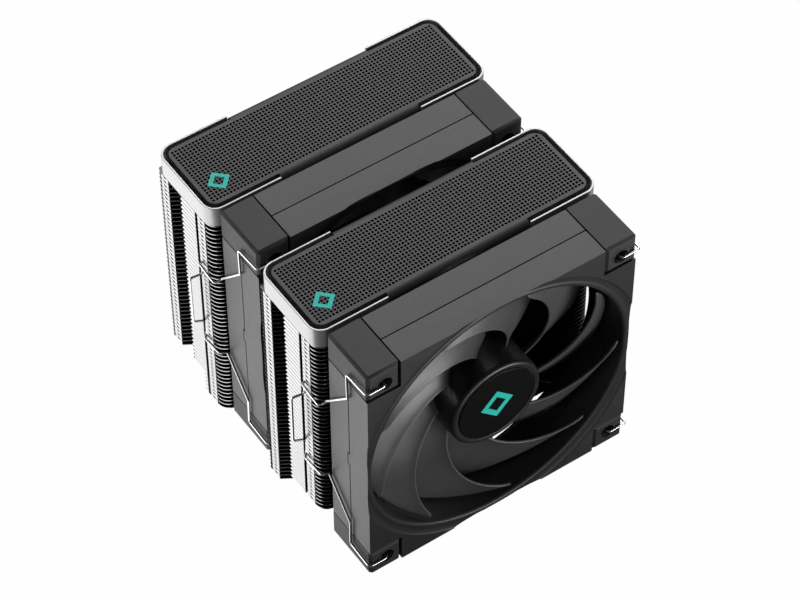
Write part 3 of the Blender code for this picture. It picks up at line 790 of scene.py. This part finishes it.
def stack_fins(name, outline, half, tabs, wall, base, count, pitch, holes_y=None):
    """One fin with its folded edges, repeated upwards; the pipes pass at depth holes_y."""
    thick = sizes().fin_thick / MM
    fin = add_prism(name, outline, base, base + thick)
    if holes_y is not None:
        for n in range(PIPE_COUNT):
            place = shift(pipe_x(n, PIPE_PITCH), holes_y, 0)
            carve(fin, add_drum("pipe_cutter", PIPE_CLEAR, base - 1, base + 2, place, 16))
    low, high = base + thick / 2, base + pitch + thick / 2 - TAB_SEAM
    folds = tab_boxes(half, tabs, True, low, high) + tab_boxes(half, wall, False, low, high)
    return apply_modifier(
        join(name, [fin, *folds]), "ARRAY", count=count, use_relative_offset=False,
        use_constant_offset=True, constant_offset_displace=(0, 0, pitch * MM),
    )


def pipe_x(index, pitch):
    return (index - (PIPE_COUNT - 1) / 2) * pitch


def fin_stack(tower):
    name, node = f"{tower}_fins", f"{tower}_fin_stack"
    low, high = node_box(node)
    half, front, back = (high.x - low.x) / 2, low.y, high.y
    count = sizes().fin_count
    pitch = (high.z - sizes().fin_thick / MM - FIRST_FIN) / (count - 1)
    outline = mirrored(fin_side(half - TAB_PROUD, back, back - front))
    tabs = [(back - end, back - start) for start, end in TABS]
    wall = [(back - WALL[1], back - WALL[0])]
    full = stack_fins(name, outline, half, tabs, wall, FIRST_FIN, count, pitch, (front + back) / 2)
    stack = join(name, [full, lower_fins(tower, half, front, back, pitch)])
    for vert in stack.data.vertices:
        vert.co.z = min(vert.co.z, high.z * MM)
    smooth(stack, 30)
    finish_piece(stack, "fin_sheet", "heatsink", "aluminium", node)
    # painted shade: upright fin edges between the first and last tab, set back behind the folded edges or in
    # the notch and groove, get the darker finish
    stack.data.materials.append(finish("fin_recess_shade"))
    for face in stack.data.polygons:
        inside = abs(face.center.x) < (half - TAB_PROUD / 2) * MM
        along = back - TABS[1][1] < face.center.y / MM < back - TABS[0][0]
        if inside and along and abs(face.normal.z) < 0.5:
            face.material_index = 1


def lower_fins(tower, half, front, back, pitch):
    """Short fins under the tower, on the side of the fan between the towers."""
    if tower == "front":
        right = [(half - NOTCH_DEEP, back - LOWER_DEEP), (half - NOTCH_DEEP, back - NOTCH[1])]
        right.append((half, back - NOTCH[0]))
        right += arc((half - BACK_CORNER, back - BACK_CORNER), BACK_CORNER, 0, 90, 3)
        tabs, wall = [(back - TABS[0][1], back - TABS[0][0])], []
    else:
        right = arc((half - FRONT_CORNER, front + FRONT_CORNER), FRONT_CORNER, -90, 0, 8)
        right.append((half, front + LOWER_DEEP))
        tabs = [(back - end, back - start) for start, end in TABS[1:]]
        wall = [(back - WALL[1], front + LOWER_DEEP)]
    outline = mirrored([(x - TAB_PROUD, y) for x, y in right])
    base = FIRST_FIN - LOWER_FINS * pitch
    return stack_fins("lower_fins", outline, half, tabs, wall, base, LOWER_FINS, pitch)


class COOLER_OT_fins(bpy.types.Operator):
    """Builds the folded fins of both towers"""

    bl_idname = "cooler.fins"
    bl_label = "Fin stacks"

    def execute(self, context):
        for tower in TOWERS:
            fin_stack(tower)
        return {"FINISHED"}


# ---------------------------------------------------------------- fan frames

BORE_R = 58.0
BELL_R = 63.5
LIP_R = 59.6
LIP_EDGE = 1.48
PAD_GAP = 0.3
PAD_INSET = 0.25
PAD_CHAMFER = 1.15
SEAM = 0.45
HOLE_AT = 52.5
HOLE_R = 2.4
MOUTH_R = 3.3
LATCH_TALL = 6.0
LATCH_DEEP = 1.1
LATCH_THICK = 1.5
SEAT_R = 20.0
SEAT_THICK = 2.4
STRUT_COUNT = 4
STRUT_HALF_WIDTHS = ((SEAT_R - 2, 2.6), (38, 1.5), (BORE_R + 1, 1.9))  # at three radii
DIMPLE_R = 0.3
DIMPLE_PITCH = 0.95


def fan_place(fan):
    """Matrix from a fan's own axes, with z along its depth, to the model's, its centre and half its width."""
    low, high = node_box(f"{fan}_fan_front_shell")
    centre = Vector((0, low.y, (low.z + high.z) / 2))
    return Matrix.Translation(centre * MM) @ ALONG_Y, centre, (high.x - low.x) / 2


def shell_block(fan, part, start, end):
    """Square frame half with its corners cut away for the pads, in the fan's own axes."""
    _, centre, half = fan_place(fan)
    pad_low, _ = node_box(f"{fan}_fan_pad_top_right")
    x, z = pad_low.x - PAD_GAP, pad_low.z - centre.z - PAD_GAP
    outline = [(half, -z), (half, z), (x, z), (x, half), (-x, half), (-x, z), (-half, z), (-half, -z)]
    outline += [(-x, -z), (-x, -half), (x, -half), (x, -z)]
    return add_prism(f"{fan}_frame_{part}", outline, start, end)


def latches(shell, half, start, end, tall, operation):
    """Tongues, or the slots for them, at mid height that lock the two frame halves."""
    for side in (-1, 1):
        left, right = sorted((side * half, side * (half - LATCH_THICK)))
        carve(shell, add_block("latch", (left, -tall / 2, start), (right, tall / 2, end)), operation)


def front_shell(fan):
    place, _, half = fan_place(fan)
    node = f"{fan}_fan_front_shell"
    low, high = node_box(node)
    deep = high.y - low.y
    shell = shell_block(fan, "front", 0, deep)
    # a shallow flare, a fine groove, then the raised lip and its round into the bore
    section = [(0, -1), (BELL_R, -1), (BELL_R, 0.15), (BELL_R - 0.35, 0.42), (BELL_R - 1.4, 0.72)]
    section += [(LIP_R + 1.1, 0.9), (LIP_R + 0.75, 0.72), (LIP_R + 0.35, 0.6), (LIP_R - 0.2, 0.62)]
    section += arc((LIP_R - 0.2, 0.62 + LIP_EDGE), LIP_EDGE, 270, 180, 7)[1:] + [(BORE_R, 3.4)]
    section += [(BORE_R, deep + 1), (0, deep + 1)]
    carve(shell, add_turning("bell_cutter", section, Matrix(), 128))
    latches(shell, half, deep - 1, deep + LATCH_DEEP, LATCH_TALL, "UNION")
    shell.data.transform(place)
    soften(shell, 0.28, 2, 40)
    finish_piece(shell, "fan_plastic", f"{fan}_fan", "black_plastic", node)


def rear_shell(fan):
    place, centre, half = fan_place(fan)
    node = f"{fan}_fan_rear_shell"
    start = node_box(f"{fan}_fan_front_shell")[1].y - centre.y + SEAM
    end = node_box(node)[1].y - centre.y
    shell = shell_block(fan, "rear", start, end)
    section = [(0, start - 1), (BORE_R, start - 1), (BORE_R, end - SEAT_THICK), (BORE_R + 1.2, end - 0.6)]
    section += [(BORE_R + 1.2, end + 1), (0, end + 1)]
    carve(shell, add_turning("bore_cutter", section, Matrix(), 128))
    latches(shell, half + 1, start - 1, start + LATCH_DEEP, LATCH_TALL + 2 * SEAM, "DIFFERENCE")
    section = [(0, end), (SEAT_R - 0.6, end), (SEAT_R, end - 0.6), (SEAT_R, end - SEAT_THICK)]
    struts = [add_turning("seat", section + [(0, end - SEAT_THICK)], Matrix())]
    outline = [(radius, -wide) for radius, wide in STRUT_HALF_WIDTHS]
    outline += [(radius, wide) for radius, wide in reversed(STRUT_HALF_WIDTHS)]
    for n in range(STRUT_COUNT):
        strut = add_prism("strut", outline, end - 2.2, end - 0.3)
        strut.data.transform(Matrix.Rotation(math.radians(45 + 90 * n), 4, "Z"))
        struts.append(strut)
    for part in struts:
        carve(shell, part, "UNION")
    shell.data.transform(place)
    soften(shell, 0.22, 2, 30)
    finish_piece(shell, "fan_plastic", f"{fan}_fan", "black_plastic", node)


def corner_pad(fan, sx, sz, label):
    """Rubber corner with a countersunk screw hole through it."""
    name, node = f"{fan}_pad_{label}", f"{fan}_fan_pad_{label}"
    low, high = node_box(node)
    _, centre, half = fan_place(fan)
    deep = high.y - low.y
    middle = Vector((sx * HOLE_AT, centre.y, centre.z + sz * HOLE_AT))
    inner_x = (low.x if sx > 0 else high.x) + sx * PAD_INSET
    inner_z = (low.z if sz > 0 else high.z) + sz * PAD_INSET
    ends = [sorted(pair) for pair in ((sx * half, inner_x), (low.y, high.y), (centre.z + sz * half, inner_z))]
    pad = add_block(name, [pair[0] for pair in ends], [pair[1] for pair in ends])
    edit(pad, "EDGE", lambda edge: outside_edge(edge, inner_x * MM, inner_z * MM, deep * MM))
    bpy.ops.mesh.bevel(offset=PAD_CHAMFER * MM, segments=1, affect="EDGES")
    close()
    soften(pad, 0.2)
    section = [(0, -1), (MOUTH_R, -1), (MOUTH_R, 0.4), (HOLE_R, 1.5), (HOLE_R, deep - 1.5)]
    section += [(MOUTH_R, deep - 0.4), (MOUTH_R, deep + 1), (0, deep + 1)]
    at = Matrix.Translation(middle * MM) @ ALONG_Y
    carve(pad, add_turning("hole_cutter", section, at, 40))
    if sz > 0:
        carve(pad, pad_dimples(sx, middle))
    section = [(MOUTH_R + 0.02, -0.2), (MOUTH_R + 0.6, -0.2), (MOUTH_R + 0.85, 0.15), (MOUTH_R + 0.02, 0.15)]
    pad = join(name, [pad, add_turning("ring", section, at, 40)])
    smooth(pad, 30)
    finish_piece(pad, "pad_rubber", f"{fan}_fan", "rubber_pad", node)


def outside_edge(edge, inner_x, inner_z, deep):
    """True for the edges round a pad's front and back and for its outer corner."""
    run = edge.verts[0].co - edge.verts[1].co
    place = edge.verts[0].co
    if abs(run.y) < deep / 2:
        return True
    return abs(place.x - inner_x) > 0.1 * MM and abs(place.z - inner_z) > 0.1 * MM


def pad_dimples(sx, middle):
    """Small grid of grip dimples beside the hole of an upper pad."""
    drums = []
    for column in range(3):
        for row in range(4):
            spot = Vector((sx * (4.7 + 0.9 * column), 0, 1.9 - DIMPLE_PITCH * row - DIMPLE_R * column))
            at = Matrix.Translation((middle + spot) * MM) @ ALONG_Y
            drums.append(add_drum("dimple", DIMPLE_R, -1, 0.45, at, 10))
    return join("dimples", drums)


class COOLER_OT_frames(bpy.types.Operator):
    """Builds both fan frames with their corner pads"""

    bl_idname = "cooler.frames"
    bl_label = "Fan frames"

    def execute(self, context):
        for fan in FANS:
            front_shell(fan)
            rear_shell(fan)
            for sx, sz, label in CORNERS:
                corner_pad(fan, sx, sz, label)
        return {"FINISHED"}


# ---------------------------------------------------------------- rotors

HUB_R = 20.5
HUB_FACE = 3.6
HUB_BACK = 20.6
HUB_WALL = 1.4
TIP_R = 56.6
TIP_ANGLE = -79.0
TIP_ROUND = 0.07  # share of the blade's reach whose leading corner is rounded
SWEEP = -62.0  # from the root's leading edge to the tip's, in degrees
ROOT_CHORD = 27.0  # in degrees
TIP_CHORD = 55.0
BLADE_FRONT = (12.3, 1.5)  # depth of the leading edge at the root and at the tip
BLADE_BACK = (20.0, 17.6)
BLADE_OUT = 22
BLADE_ALONG = 14
BADGE_R = 17.2
HUB_MARK = 10.5
HUB_STROKE = 2.4


def between(ends, share):
    return ends[0] + (ends[1] - ends[0]) * share


def blade_point(out, along):
    """(x, depth, z) on a blade, out from hub to tip and along from leading to trailing edge."""
    radius = between((HUB_R - 1.0, TIP_R), out)
    along += 0.05 * max(0.0, (out - 1 + TIP_ROUND) / TIP_ROUND) ** 2 * (1 - along)
    chord = between((ROOT_CHORD, TIP_CHORD), out**1.2)
    angle = math.radians(TIP_ANGLE + SWEEP * (1 - out) ** 0.87 - chord * along)
    depth = between((between(BLADE_FRONT, out), between(BLADE_BACK, out)), along**0.85)
    return Vector((radius * math.cos(angle), depth, radius * math.sin(angle)))


def add_blade():
    activate()
    bpy.ops.mesh.primitive_grid_add(x_subdivisions=BLADE_ALONG, y_subdivisions=BLADE_OUT, size=1)
    blade = named("blade")
    for vert in blade.data.vertices:
        vert.co = blade_point(vert.co.y + 0.5, vert.co.x + 0.5) * MM
    apply_modifier(blade, "SOLIDIFY", thickness=sizes().blade_thick, offset=0)
    face_out(blade)
    return apply_modifier(
        blade, "BEVEL", width=0.4 * MM, segments=2, limit_method="ANGLE", angle_limit=math.radians(50)
    )


def rotor(fan):
    place, centre, _ = fan_place(fan)
    body = f"{fan}_fan_impeller"
    section = [(0, HUB_FACE), (BADGE_R + 0.4, HUB_FACE), (BADGE_R + 0.5, 3.2)]
    section += arc((HUB_R - 1.7, 4.5), 1.6, -100, -10, 8)
    section += [(HUB_R, 6.0), (HUB_R, HUB_BACK), (HUB_R - HUB_WALL, HUB_BACK)]
    section += [(HUB_R - HUB_WALL, HUB_FACE + 2), (0, HUB_FACE + 2)]
    hub = add_turning(f"{fan}_hub", section, place)
    blade = add_blade()
    count = sizes().blade_count
    to_fan = Matrix.Translation(centre * MM)
    blades = [copy_of(blade, to_fan @ Matrix.Rotation(math.tau * n / count, 4, "Y")) for n in range(count)]
    bpy.data.objects.remove(blade)
    turned = join(f"{fan}_blades", blades)
    smooth(turned, 50)
    finish_piece(turned, "blade_plastic", body, "black_plastic", f"{fan}_fan_rotor")
    smooth(hub, 35)
    finish_piece(hub, "hub_plastic", body, "black_plastic")


def hub_badge(fan):
    place, centre, _ = fan_place(fan)
    body = f"{fan}_fan_impeller"
    section = [(0, 2.9), (BADGE_R - 0.3, 2.9), (BADGE_R, 3.1), (BADGE_R, 3.5), (0, 3.5)]
    disc = add_turning(f"{fan}_badge", section, place)
    smooth(disc, 30)
    finish_piece(disc, "badge_black", body, "gloss_badge", f"{fan}_fan_hub_badge")
    outwards = shift(0, centre.y + 3.0, centre.z) @ ALONG_Y @ Matrix.Rotation(math.pi, 4, "X")
    add_mark(f"{fan}_hub_motif", HUB_MARK, HUB_STROKE, 0.2, outwards, body)


class COOLER_OT_rotors(bpy.types.Operator):
    """Builds both rotors with their hub badges"""

    bl_idname = "cooler.rotors"
    bl_label = "Rotors"

    def execute(self, context):
        for fan in FANS:
            rotor(fan)
            hub_badge(fan)
        return {"FINISHED"}


# ---------------------------------------------------------------- clips

FAN_DEPTH = 25.0
CLIP_BEND = 1.3
CLIP_CLEAR = 0.4
CLIP_HOOK = 2.6  # how far a hook reaches into its hole
GRIP_OUT = 4.0


def clip_path(fan, tower):
    """Upper half of a left clip, from its hook to the finger grip, with heights from the fan's centre."""
    _, centre, half = fan_place(fan)
    _, tower_high = node_box(f"{tower}_fin_stack")
    wire = sizes().wire / MM / 2
    front, back = centre.y, centre.y + FAN_DEPTH
    fan_side, hook_y = half + wire + CLIP_CLEAR, front - wire - CLIP_CLEAR
    tower_side, groove = tower_high.x + wire + 0.5, tower_high.x - 0.9
    slot_y = tower_high.y - (GROOVE[0] + GROOVE[1]) / 2
    return [
        (-HOLE_AT, front + CLIP_HOOK + wire, HOLE_AT),
        (-HOLE_AT, hook_y, HOLE_AT),
        (-fan_side, hook_y, HOLE_AT),
        (-fan_side, front + 12.0, HOLE_AT - 1),
        (-fan_side, front + 11.7, 38.0),
        (-fan_side, back + wire + 0.1, 22.0),
        (-tower_side, back + 2 * wire, 21.0),
        (-tower_side, slot_y - 1.5, 22.4),
        (-groove, slot_y, 21.0),
        (-groove, slot_y, 14.0),
        (-tower_high.x - GRIP_OUT, slot_y + 1.4, 13.0),
    ]


def clip(fan, tower, side, label):
    upper = clip_path(fan, tower)
    lower = [(x, y, -z) for x, y, z in reversed(upper)]
    centre_z = fan_place(fan)[1].z
    points = [(-side * x, y, z + centre_z) for x, y, z in upper + lower]
    path = rounded_path(points, [CLIP_BEND] * len(points), 4)
    wire = add_wire(f"{fan}_wire_{label}", path, sizes().wire / MM / 2)
    node = f"{fan}_fan_clip_{label}"
    finish_piece(wire, "clip_steel", node, "steel", node)


class COOLER_OT_clips(bpy.types.Operator):
    """Builds the four wire clips"""

    bl_idname = "cooler.clips"
    bl_label = "Wire clips"

    def execute(self, context):
        for fan, tower in zip(FANS, TOWERS):
            for side, label in SIDES:
                clip(fan, tower, side, label)
        return {"FINISHED"}


# ---------------------------------------------------------------- pipes, base and screws

PIPE_R = 3.0
PIPE_PITCH_BASE = 7.2
PIPE_STRAIGHT = 21.5
PIPE_BENDS = (11.0, 7.0, 7.0, 11.0)
CHANNEL_R = 3.2
CHANNEL_Z = 6.3
BAR_HOLES = ((-41, 2.9), (-13, 2.3), (13, 2.3), (41, 2.9))  # place along the bar and radius
BAR_SCREW_R = 1.5
BAR_HEAD_R = 3.4
SCREW_R = 2.5
SCREW_HEAD_R = 4.6
THREAD_R = 1.6
THREAD_TOP = 7.0
THREAD_PITCH = 0.6
CLIP_SEAT = (14.8, 16.1)  # neck that the retaining clip sits in
DRIVE_LONG = 2.6
DRIVE_WIDE = 0.5
DRIVE_DEEP = 1.6
SPRING_WIRE = 0.42
SPRING_R = 3.5
SPRING_TURNS = 5


def heat_pipe(index):
    """One pipe bent in a U, from the ends of its CAD node."""
    node = f"heat_pipe_{index + 1}"
    low, high = node_box(node)
    base_x, tower_x = pipe_x(index, PIPE_PITCH_BASE), pipe_x(index, PIPE_PITCH)
    base_z, tower_y = low.z + PIPE_R, (high.y - low.y) / 2 - PIPE_R
    half = [(base_x, PIPE_STRAIGHT, base_z), (tower_x, tower_y, base_z), (tower_x, tower_y, high.z)]
    points = [(x, -y, z) for x, y, z in reversed(half)] + half
    pipe = add_wire(f"pipe_{index + 1}", rounded_path(points, PIPE_BENDS, 10, 0.8), PIPE_R, 5)
    finish_piece(pipe, "nickel", "heatsink", "nickel_plate", node)


def base_piece(name, node, look, slot):
    """Half of the base, with a channel for each pipe."""
    made = add_block(name, *node_box(node))
    for n in range(PIPE_COUNT):
        along = shift(pipe_x(n, PIPE_PITCH_BASE), 0, CHANNEL_Z) @ ALONG_Y
        carve(made, add_drum("channel_cutter", CHANNEL_R, -30, 30, along, 40))
    soften(made, 0.5, 2, 60)
    finish_piece(made, look, "heatsink", slot, node)


def mounting_bar():
    low, high = node_box("mounting_bar")
    outline = rounded_outline((high.x - low.x) / 2, (high.y - low.y) / 2, 5.0, 0)
    bar = add_prism("bar", outline, low.z, high.z)
    for x, radius in BAR_HOLES:
        carve(bar, add_drum("hole_cutter", radius, low.z - 1, high.z + 1, shift(x, 0, 0), 32))
    soften(bar, 0.35)
    finish_piece(bar, "bar_steel", "heatsink", "steel", "mounting_bar")


def turned_screw(name, node, section, drive_top, body):
    """Turned screw with a cross recess in its head."""
    low, high = node_box(node)
    x = (low.x + high.x) / 2
    screw = add_turning(name, section, shift(x, 0, 0), 40)
    for half_x, half_y in ((DRIVE_LONG, DRIVE_WIDE), (DRIVE_WIDE, DRIVE_LONG)):
        cut_low, cut_high = (x - half_x, -half_y, drive_top - DRIVE_DEEP), (x + half_x, half_y, drive_top + 1)
        carve(screw, add_block("drive_cutter", cut_low, cut_high))
    smooth(screw, 30)
    finish_piece(screw, "bar_steel", body, "steel", node)
    return x


def bar_screw(label):
    node = f"bar_fixing_screw_{label}"
    low, high = node_box(node)
    seat, top = high.z - 2.0, high.z
    section = [(0, low.z), (1.2, low.z), (BAR_SCREW_R, low.z + 0.4), (BAR_SCREW_R, seat)]
    section += [(BAR_HEAD_R, seat), (BAR_HEAD_R, seat + 1.2), (3.1, seat + 1.7), (2.6, top), (0, top)]
    turned_screw(f"bar_screw_{label}", node, section, top + 0.4, "heatsink")


def spring_screw(label):
    node = f"spring_screw_{label}"
    low, high = node_box(node)
    head, top = high.z - 4.0, high.z
    section = [(0, low.z), (1.2, low.z)]
    thread = low.z + 0.3
    while thread < THREAD_TOP - 0.4:
        section += [(THREAD_R, thread), (THREAD_R - 0.3, thread + 0.3)]
        thread += THREAD_PITCH
    section += [(THREAD_R, THREAD_TOP), (SCREW_R, THREAD_TOP), (SCREW_R, CLIP_SEAT[0]), (1.7, CLIP_SEAT[0])]
    section += [(1.7, CLIP_SEAT[1]), (SCREW_R, CLIP_SEAT[1]), (SCREW_R, head), (SCREW_HEAD_R, head)]
    section += [(SCREW_HEAD_R, head + 3.4), (4.1, top), (0, top)]
    x = turned_screw(f"sprung_screw_{label}", node, section, top, node)
    spring(label, x)


def spring(label, x, steps=32):
    """Coil under a spring screw's head."""
    node = f"screw_spring_{label}"
    low, high = node_box(node)
    rise = high.z - low.z - 2 * SPRING_WIRE
    path = []
    for n in range(SPRING_TURNS * steps + 1):
        angle = math.tau * n / steps
        height = low.z + SPRING_WIRE + rise * n / (SPRING_TURNS * steps)
        path.append((x + SPRING_R * math.cos(angle), SPRING_R * math.sin(angle), height))
    coil = add_wire(f"spring_{label}", path, SPRING_WIRE, 2)
    finish_piece(coil, "bar_steel", "heatsink", "steel", node)
    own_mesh(coil)


class COOLER_OT_base(bpy.types.Operator):
    """Builds the heat pipes, the base, the mounting bar and the screws"""

    bl_idname = "cooler.base"
    bl_label = "Pipes and base"

    def execute(self, context):
        for index in range(PIPE_COUNT):
            heat_pipe(index)
        base_piece("base_plate", "cold_plate", "nickel", "nickel_plate")
        base_piece("base_block", "base_clamp_block", "block_aluminium", "aluminium")
        mounting_bar()
        for _, label in SIDES:
            bar_screw(label)
            spring_screw(label)
        return {"FINISHED"}


class COOLER_OT_inner(bpy.types.Operator):
    """Gives the motor parts and retaining clips, which keep their CAD shapes, their finishes"""

    bl_idname = "cooler.inner"
    bl_label = "Motor finishes"

    def execute(self, context):
        looks = {f"screw_clip_{label}": "dark_oxide" for _, label in SIDES}
        for fan in FANS:
            looks[f"{fan}_fan_rotor_shaft"] = "clip_steel"
            looks[f"{fan}_fan_magnet_ring"] = "dark_oxide"
            looks[f"{fan}_fan_stator_core"] = "dark_oxide"
            looks[f"{fan}_fan_bearing_sleeve"] = "bronze"
            looks[f"{fan}_fan_circuit_board"] = "board_mask"
        for node, look in looks.items():
            for place in frame["nodes"][node].material_slots:
                place.material = finish(look)
        return {"FINISHED"}


# ---------------------------------------------------------------- stage

CAMERA_TURN = -34.315  # in degrees
CAMERA_RISE = 50.061
CAMERA_ROLL = -0.276
CAMERA_AWAY = 1139.858  # from the middle of the front fan's top front edge
CAMERA_ACROSS = -37.779
CAMERA_UP = 2.149
CAMERA_LENS = 142.57


def add_camera():
    """Long lens from above the front left, aimed by its turn, rise and roll."""
    turn, rise, roll = (math.radians(v) for v in (CAMERA_TURN, CAMERA_RISE, CAMERA_ROLL))
    back = Vector((math.sin(turn) * math.cos(rise), -math.cos(turn) * math.cos(rise), math.sin(rise)))
    right = Vector((math.cos(turn), math.sin(turn), 0))
    up = back.cross(right)
    right, up = right * math.cos(roll) + up * math.sin(roll), up * math.cos(roll) - right * math.sin(roll)
    front_low, front_high = node_box("front_fan_front_shell")
    aim = Vector((0, front_low.y, front_high.z))
    place = aim + right * CAMERA_ACROSS + up * CAMERA_UP + back * CAMERA_AWAY
    activate()
    bpy.ops.object.camera_add(location=place * MM)
    camera = bpy.context.active_object
    camera.matrix_world = Matrix.Translation(place * MM) @ Matrix((right, up, back)).transposed().to_4x4()
    camera.data.lens = CAMERA_LENS
    camera.data.clip_start, camera.data.clip_end = 0.01, 50
    bpy.context.scene.camera = camera


def add_softbox(name, place, aim, width, height, glow, seen=True):
    """Rectangular soft light; glow is the brightness of its face."""
    activate()
    bpy.ops.object.light_add(type="AREA", location=place)
    light = bpy.context.active_object
    light.name = name
    light.data.shape = "RECTANGLE"
    light.data.size, light.data.size_y = width, height
    light.data.energy = glow * math.pi * width * height
    light.rotation_euler = (Vector(place) - Vector(aim)).to_track_quat("Z", "Y").to_euler()
    light.visible_camera = seen


def add_floor_panel(name, low, high, glow):
    """Glowing panel laid on the floor, which lights the piece from below like a bright sweep."""
    middle = ((low[0] + high[0]) / 2, (low[1] + high[1]) / 2)
    above = (*middle, 1)
    add_softbox(name, (*middle, 0.002), above, high[0] - low[0], high[1] - low[1], glow, False)


def shown_to_camera(tree, share, lit, shown, output):
    """Mix of two shaders: camera rays meet the second one in this share, all others the first."""
    path = node_in(tree, "ShaderNodeLightPath")
    part = node_in(tree, "ShaderNodeMath", operation="MULTIPLY")
    part.inputs[1].default_value = share
    seen = node_in(tree, "ShaderNodeMixShader")
    link(tree, path, "Is Camera Ray", part, 0)
    link(tree, part, "Value", seen, "Fac")
    link(tree, lit, output, seen, 1)
    link(tree, shown, 0, seen, 2)
    return seen


def floor_finish():
    """Pale floor that shows almost evenly lit, and throws back less light than it shows."""
    made, tree, shader = new_finish("studio_floor")
    texture = group_node(tree, "Fine Grain", grain_group)
    texture.inputs["Grain per metre"].default_value = 400.0
    tone = mix_colour(tree, texture.outputs["Cloud"], (0.15, 0.15, 0.15), (0.17, 0.17, 0.17))
    tree.links.new(tone, shader.inputs["Base Color"])
    shader.inputs["Roughness"].default_value = 0.9
    shader.inputs["Specular IOR Level"].default_value = 0.0
    glow = node_in(tree, "ShaderNodeEmission")
    glow.inputs["Strength"].default_value = 1.04
    seen = shown_to_camera(tree, 0.95, shader, glow, "BSDF")
    side = node_in(tree, "ShaderNodeNewGeometry")
    open_below = node_in(tree, "ShaderNodeMixShader")
    clear = node_in(tree, "ShaderNodeBsdfTransparent")
    link(tree, side, "Backfacing", open_below, "Fac")
    link(tree, seen, "Shader", open_below, 1)
    link(tree, clear, "BSDF", open_below, 2)
    link(tree, open_below, "Shader", tree.nodes["Material Output"], "Surface")
    return made


def add_world():
    """White backdrop that throws only a little light on the piece."""
    world = bpy.data.worlds.new("studio")
    bpy.context.scene.world = world
    world.use_nodes = True
    tree = world.node_tree
    dim, shown = tree.nodes["Background"], node_in(tree, "ShaderNodeBackground")
    dim.inputs["Strength"].default_value = 0.07
    for backdrop in (dim, shown):
        backdrop.inputs["Color"].default_value = (1, 1, 1, 1)
    seen = shown_to_camera(tree, 1.0, dim, shown, "Background")
    link(tree, seen, "Shader", tree.nodes["World Output"], "Surface")


class COOLER_OT_stage(bpy.types.Operator):
    """Makes the floor, the soft studio lights and the camera"""

    bl_idname = "cooler.stage"
    bl_label = "Stage"

    def execute(self, context):
        add_camera()
        add_world()
        activate()
        bpy.ops.mesh.primitive_plane_add(size=8, location=(0, 0, -0.0005))
        floor = named("floor")
        bpy.ops.object.transform_apply(location=True, rotation=True, scale=True)
        floor.data.materials.append(floor_finish())
        middle = (0, 0, 0.09)
        add_softbox("left_softbox", (-1.4, 0.6, 0.35), middle, 1.0, 0.5, 4.0)
        add_softbox("top_softbox", (0.75, 0.75, 1.25), middle, 1.5, 1.3, 2.7)
        add_softbox("right_softbox", (1.3, 0.8, 0.5), middle, 0.9, 0.6, 2.5)
        add_softbox("front_softbox", (0.6, -1.15, 0.06), middle, 0.8, 0.4, 9.0)
        add_floor_panel("left_sweep", (-1.1, -0.06), (-0.07, 1.0), 1.65)
        add_floor_panel("front_sweep", (-0.12, -0.85), (0.45, -0.36), 4.0)
        bpy.context.scene.view_settings.view_transform = "Standard"
        return {"FINISHED"}


# ---------------------------------------------------------------- panel and registration


class COOLER_PT_panel(bpy.types.Panel):
    """Lists the build steps and the settings"""

    bl_label = "Tower cooler"
    bl_idname = "COOLER_PT_panel"
    bl_space_type = "VIEW_3D"
    bl_region_type = "UI"
    bl_category = "Cooler"

    def draw(self, context):
        for group in (context.scene.cooler_sizes, context.scene.cooler_colours):
            for label in group.__annotations__:
                self.layout.prop(group, label)
        for step in STEPS:
            self.layout.operator(step.bl_idname)


STEPS = (
    COOLER_OT_stage,
    COOLER_OT_covers,
    COOLER_OT_fins,
    COOLER_OT_frames,
    COOLER_OT_rotors,
    COOLER_OT_clips,
    COOLER_OT_base,
    COOLER_OT_inner,
)
CLASSES = (CoolerSizes, CoolerColours, *STEPS, COOLER_PT_panel)


def register():
    for cls in CLASSES:
        bpy.utils.register_class(cls)
    bpy.types.Scene.cooler_sizes = bpy.props.PointerProperty(type=CoolerSizes)
    bpy.types.Scene.cooler_colours = bpy.props.PointerProperty(type=CoolerColours)


def unregister():
    del bpy.types.Scene.cooler_colours
    del bpy.types.Scene.cooler_sizes
    for cls in reversed(CLASSES):
        bpy.utils.unregister_class(cls)


def main():
    register()
    bpy.ops.cooler.stage()
    bpy.ops.cooler.covers()
    bpy.ops.cooler.fins()
    bpy.ops.cooler.frames()
    bpy.ops.cooler.rotors()
    bpy.ops.cooler.clips()
    bpy.ops.cooler.base()
    bpy.ops.cooler.inner()


if __name__ == "__main__":
    main()
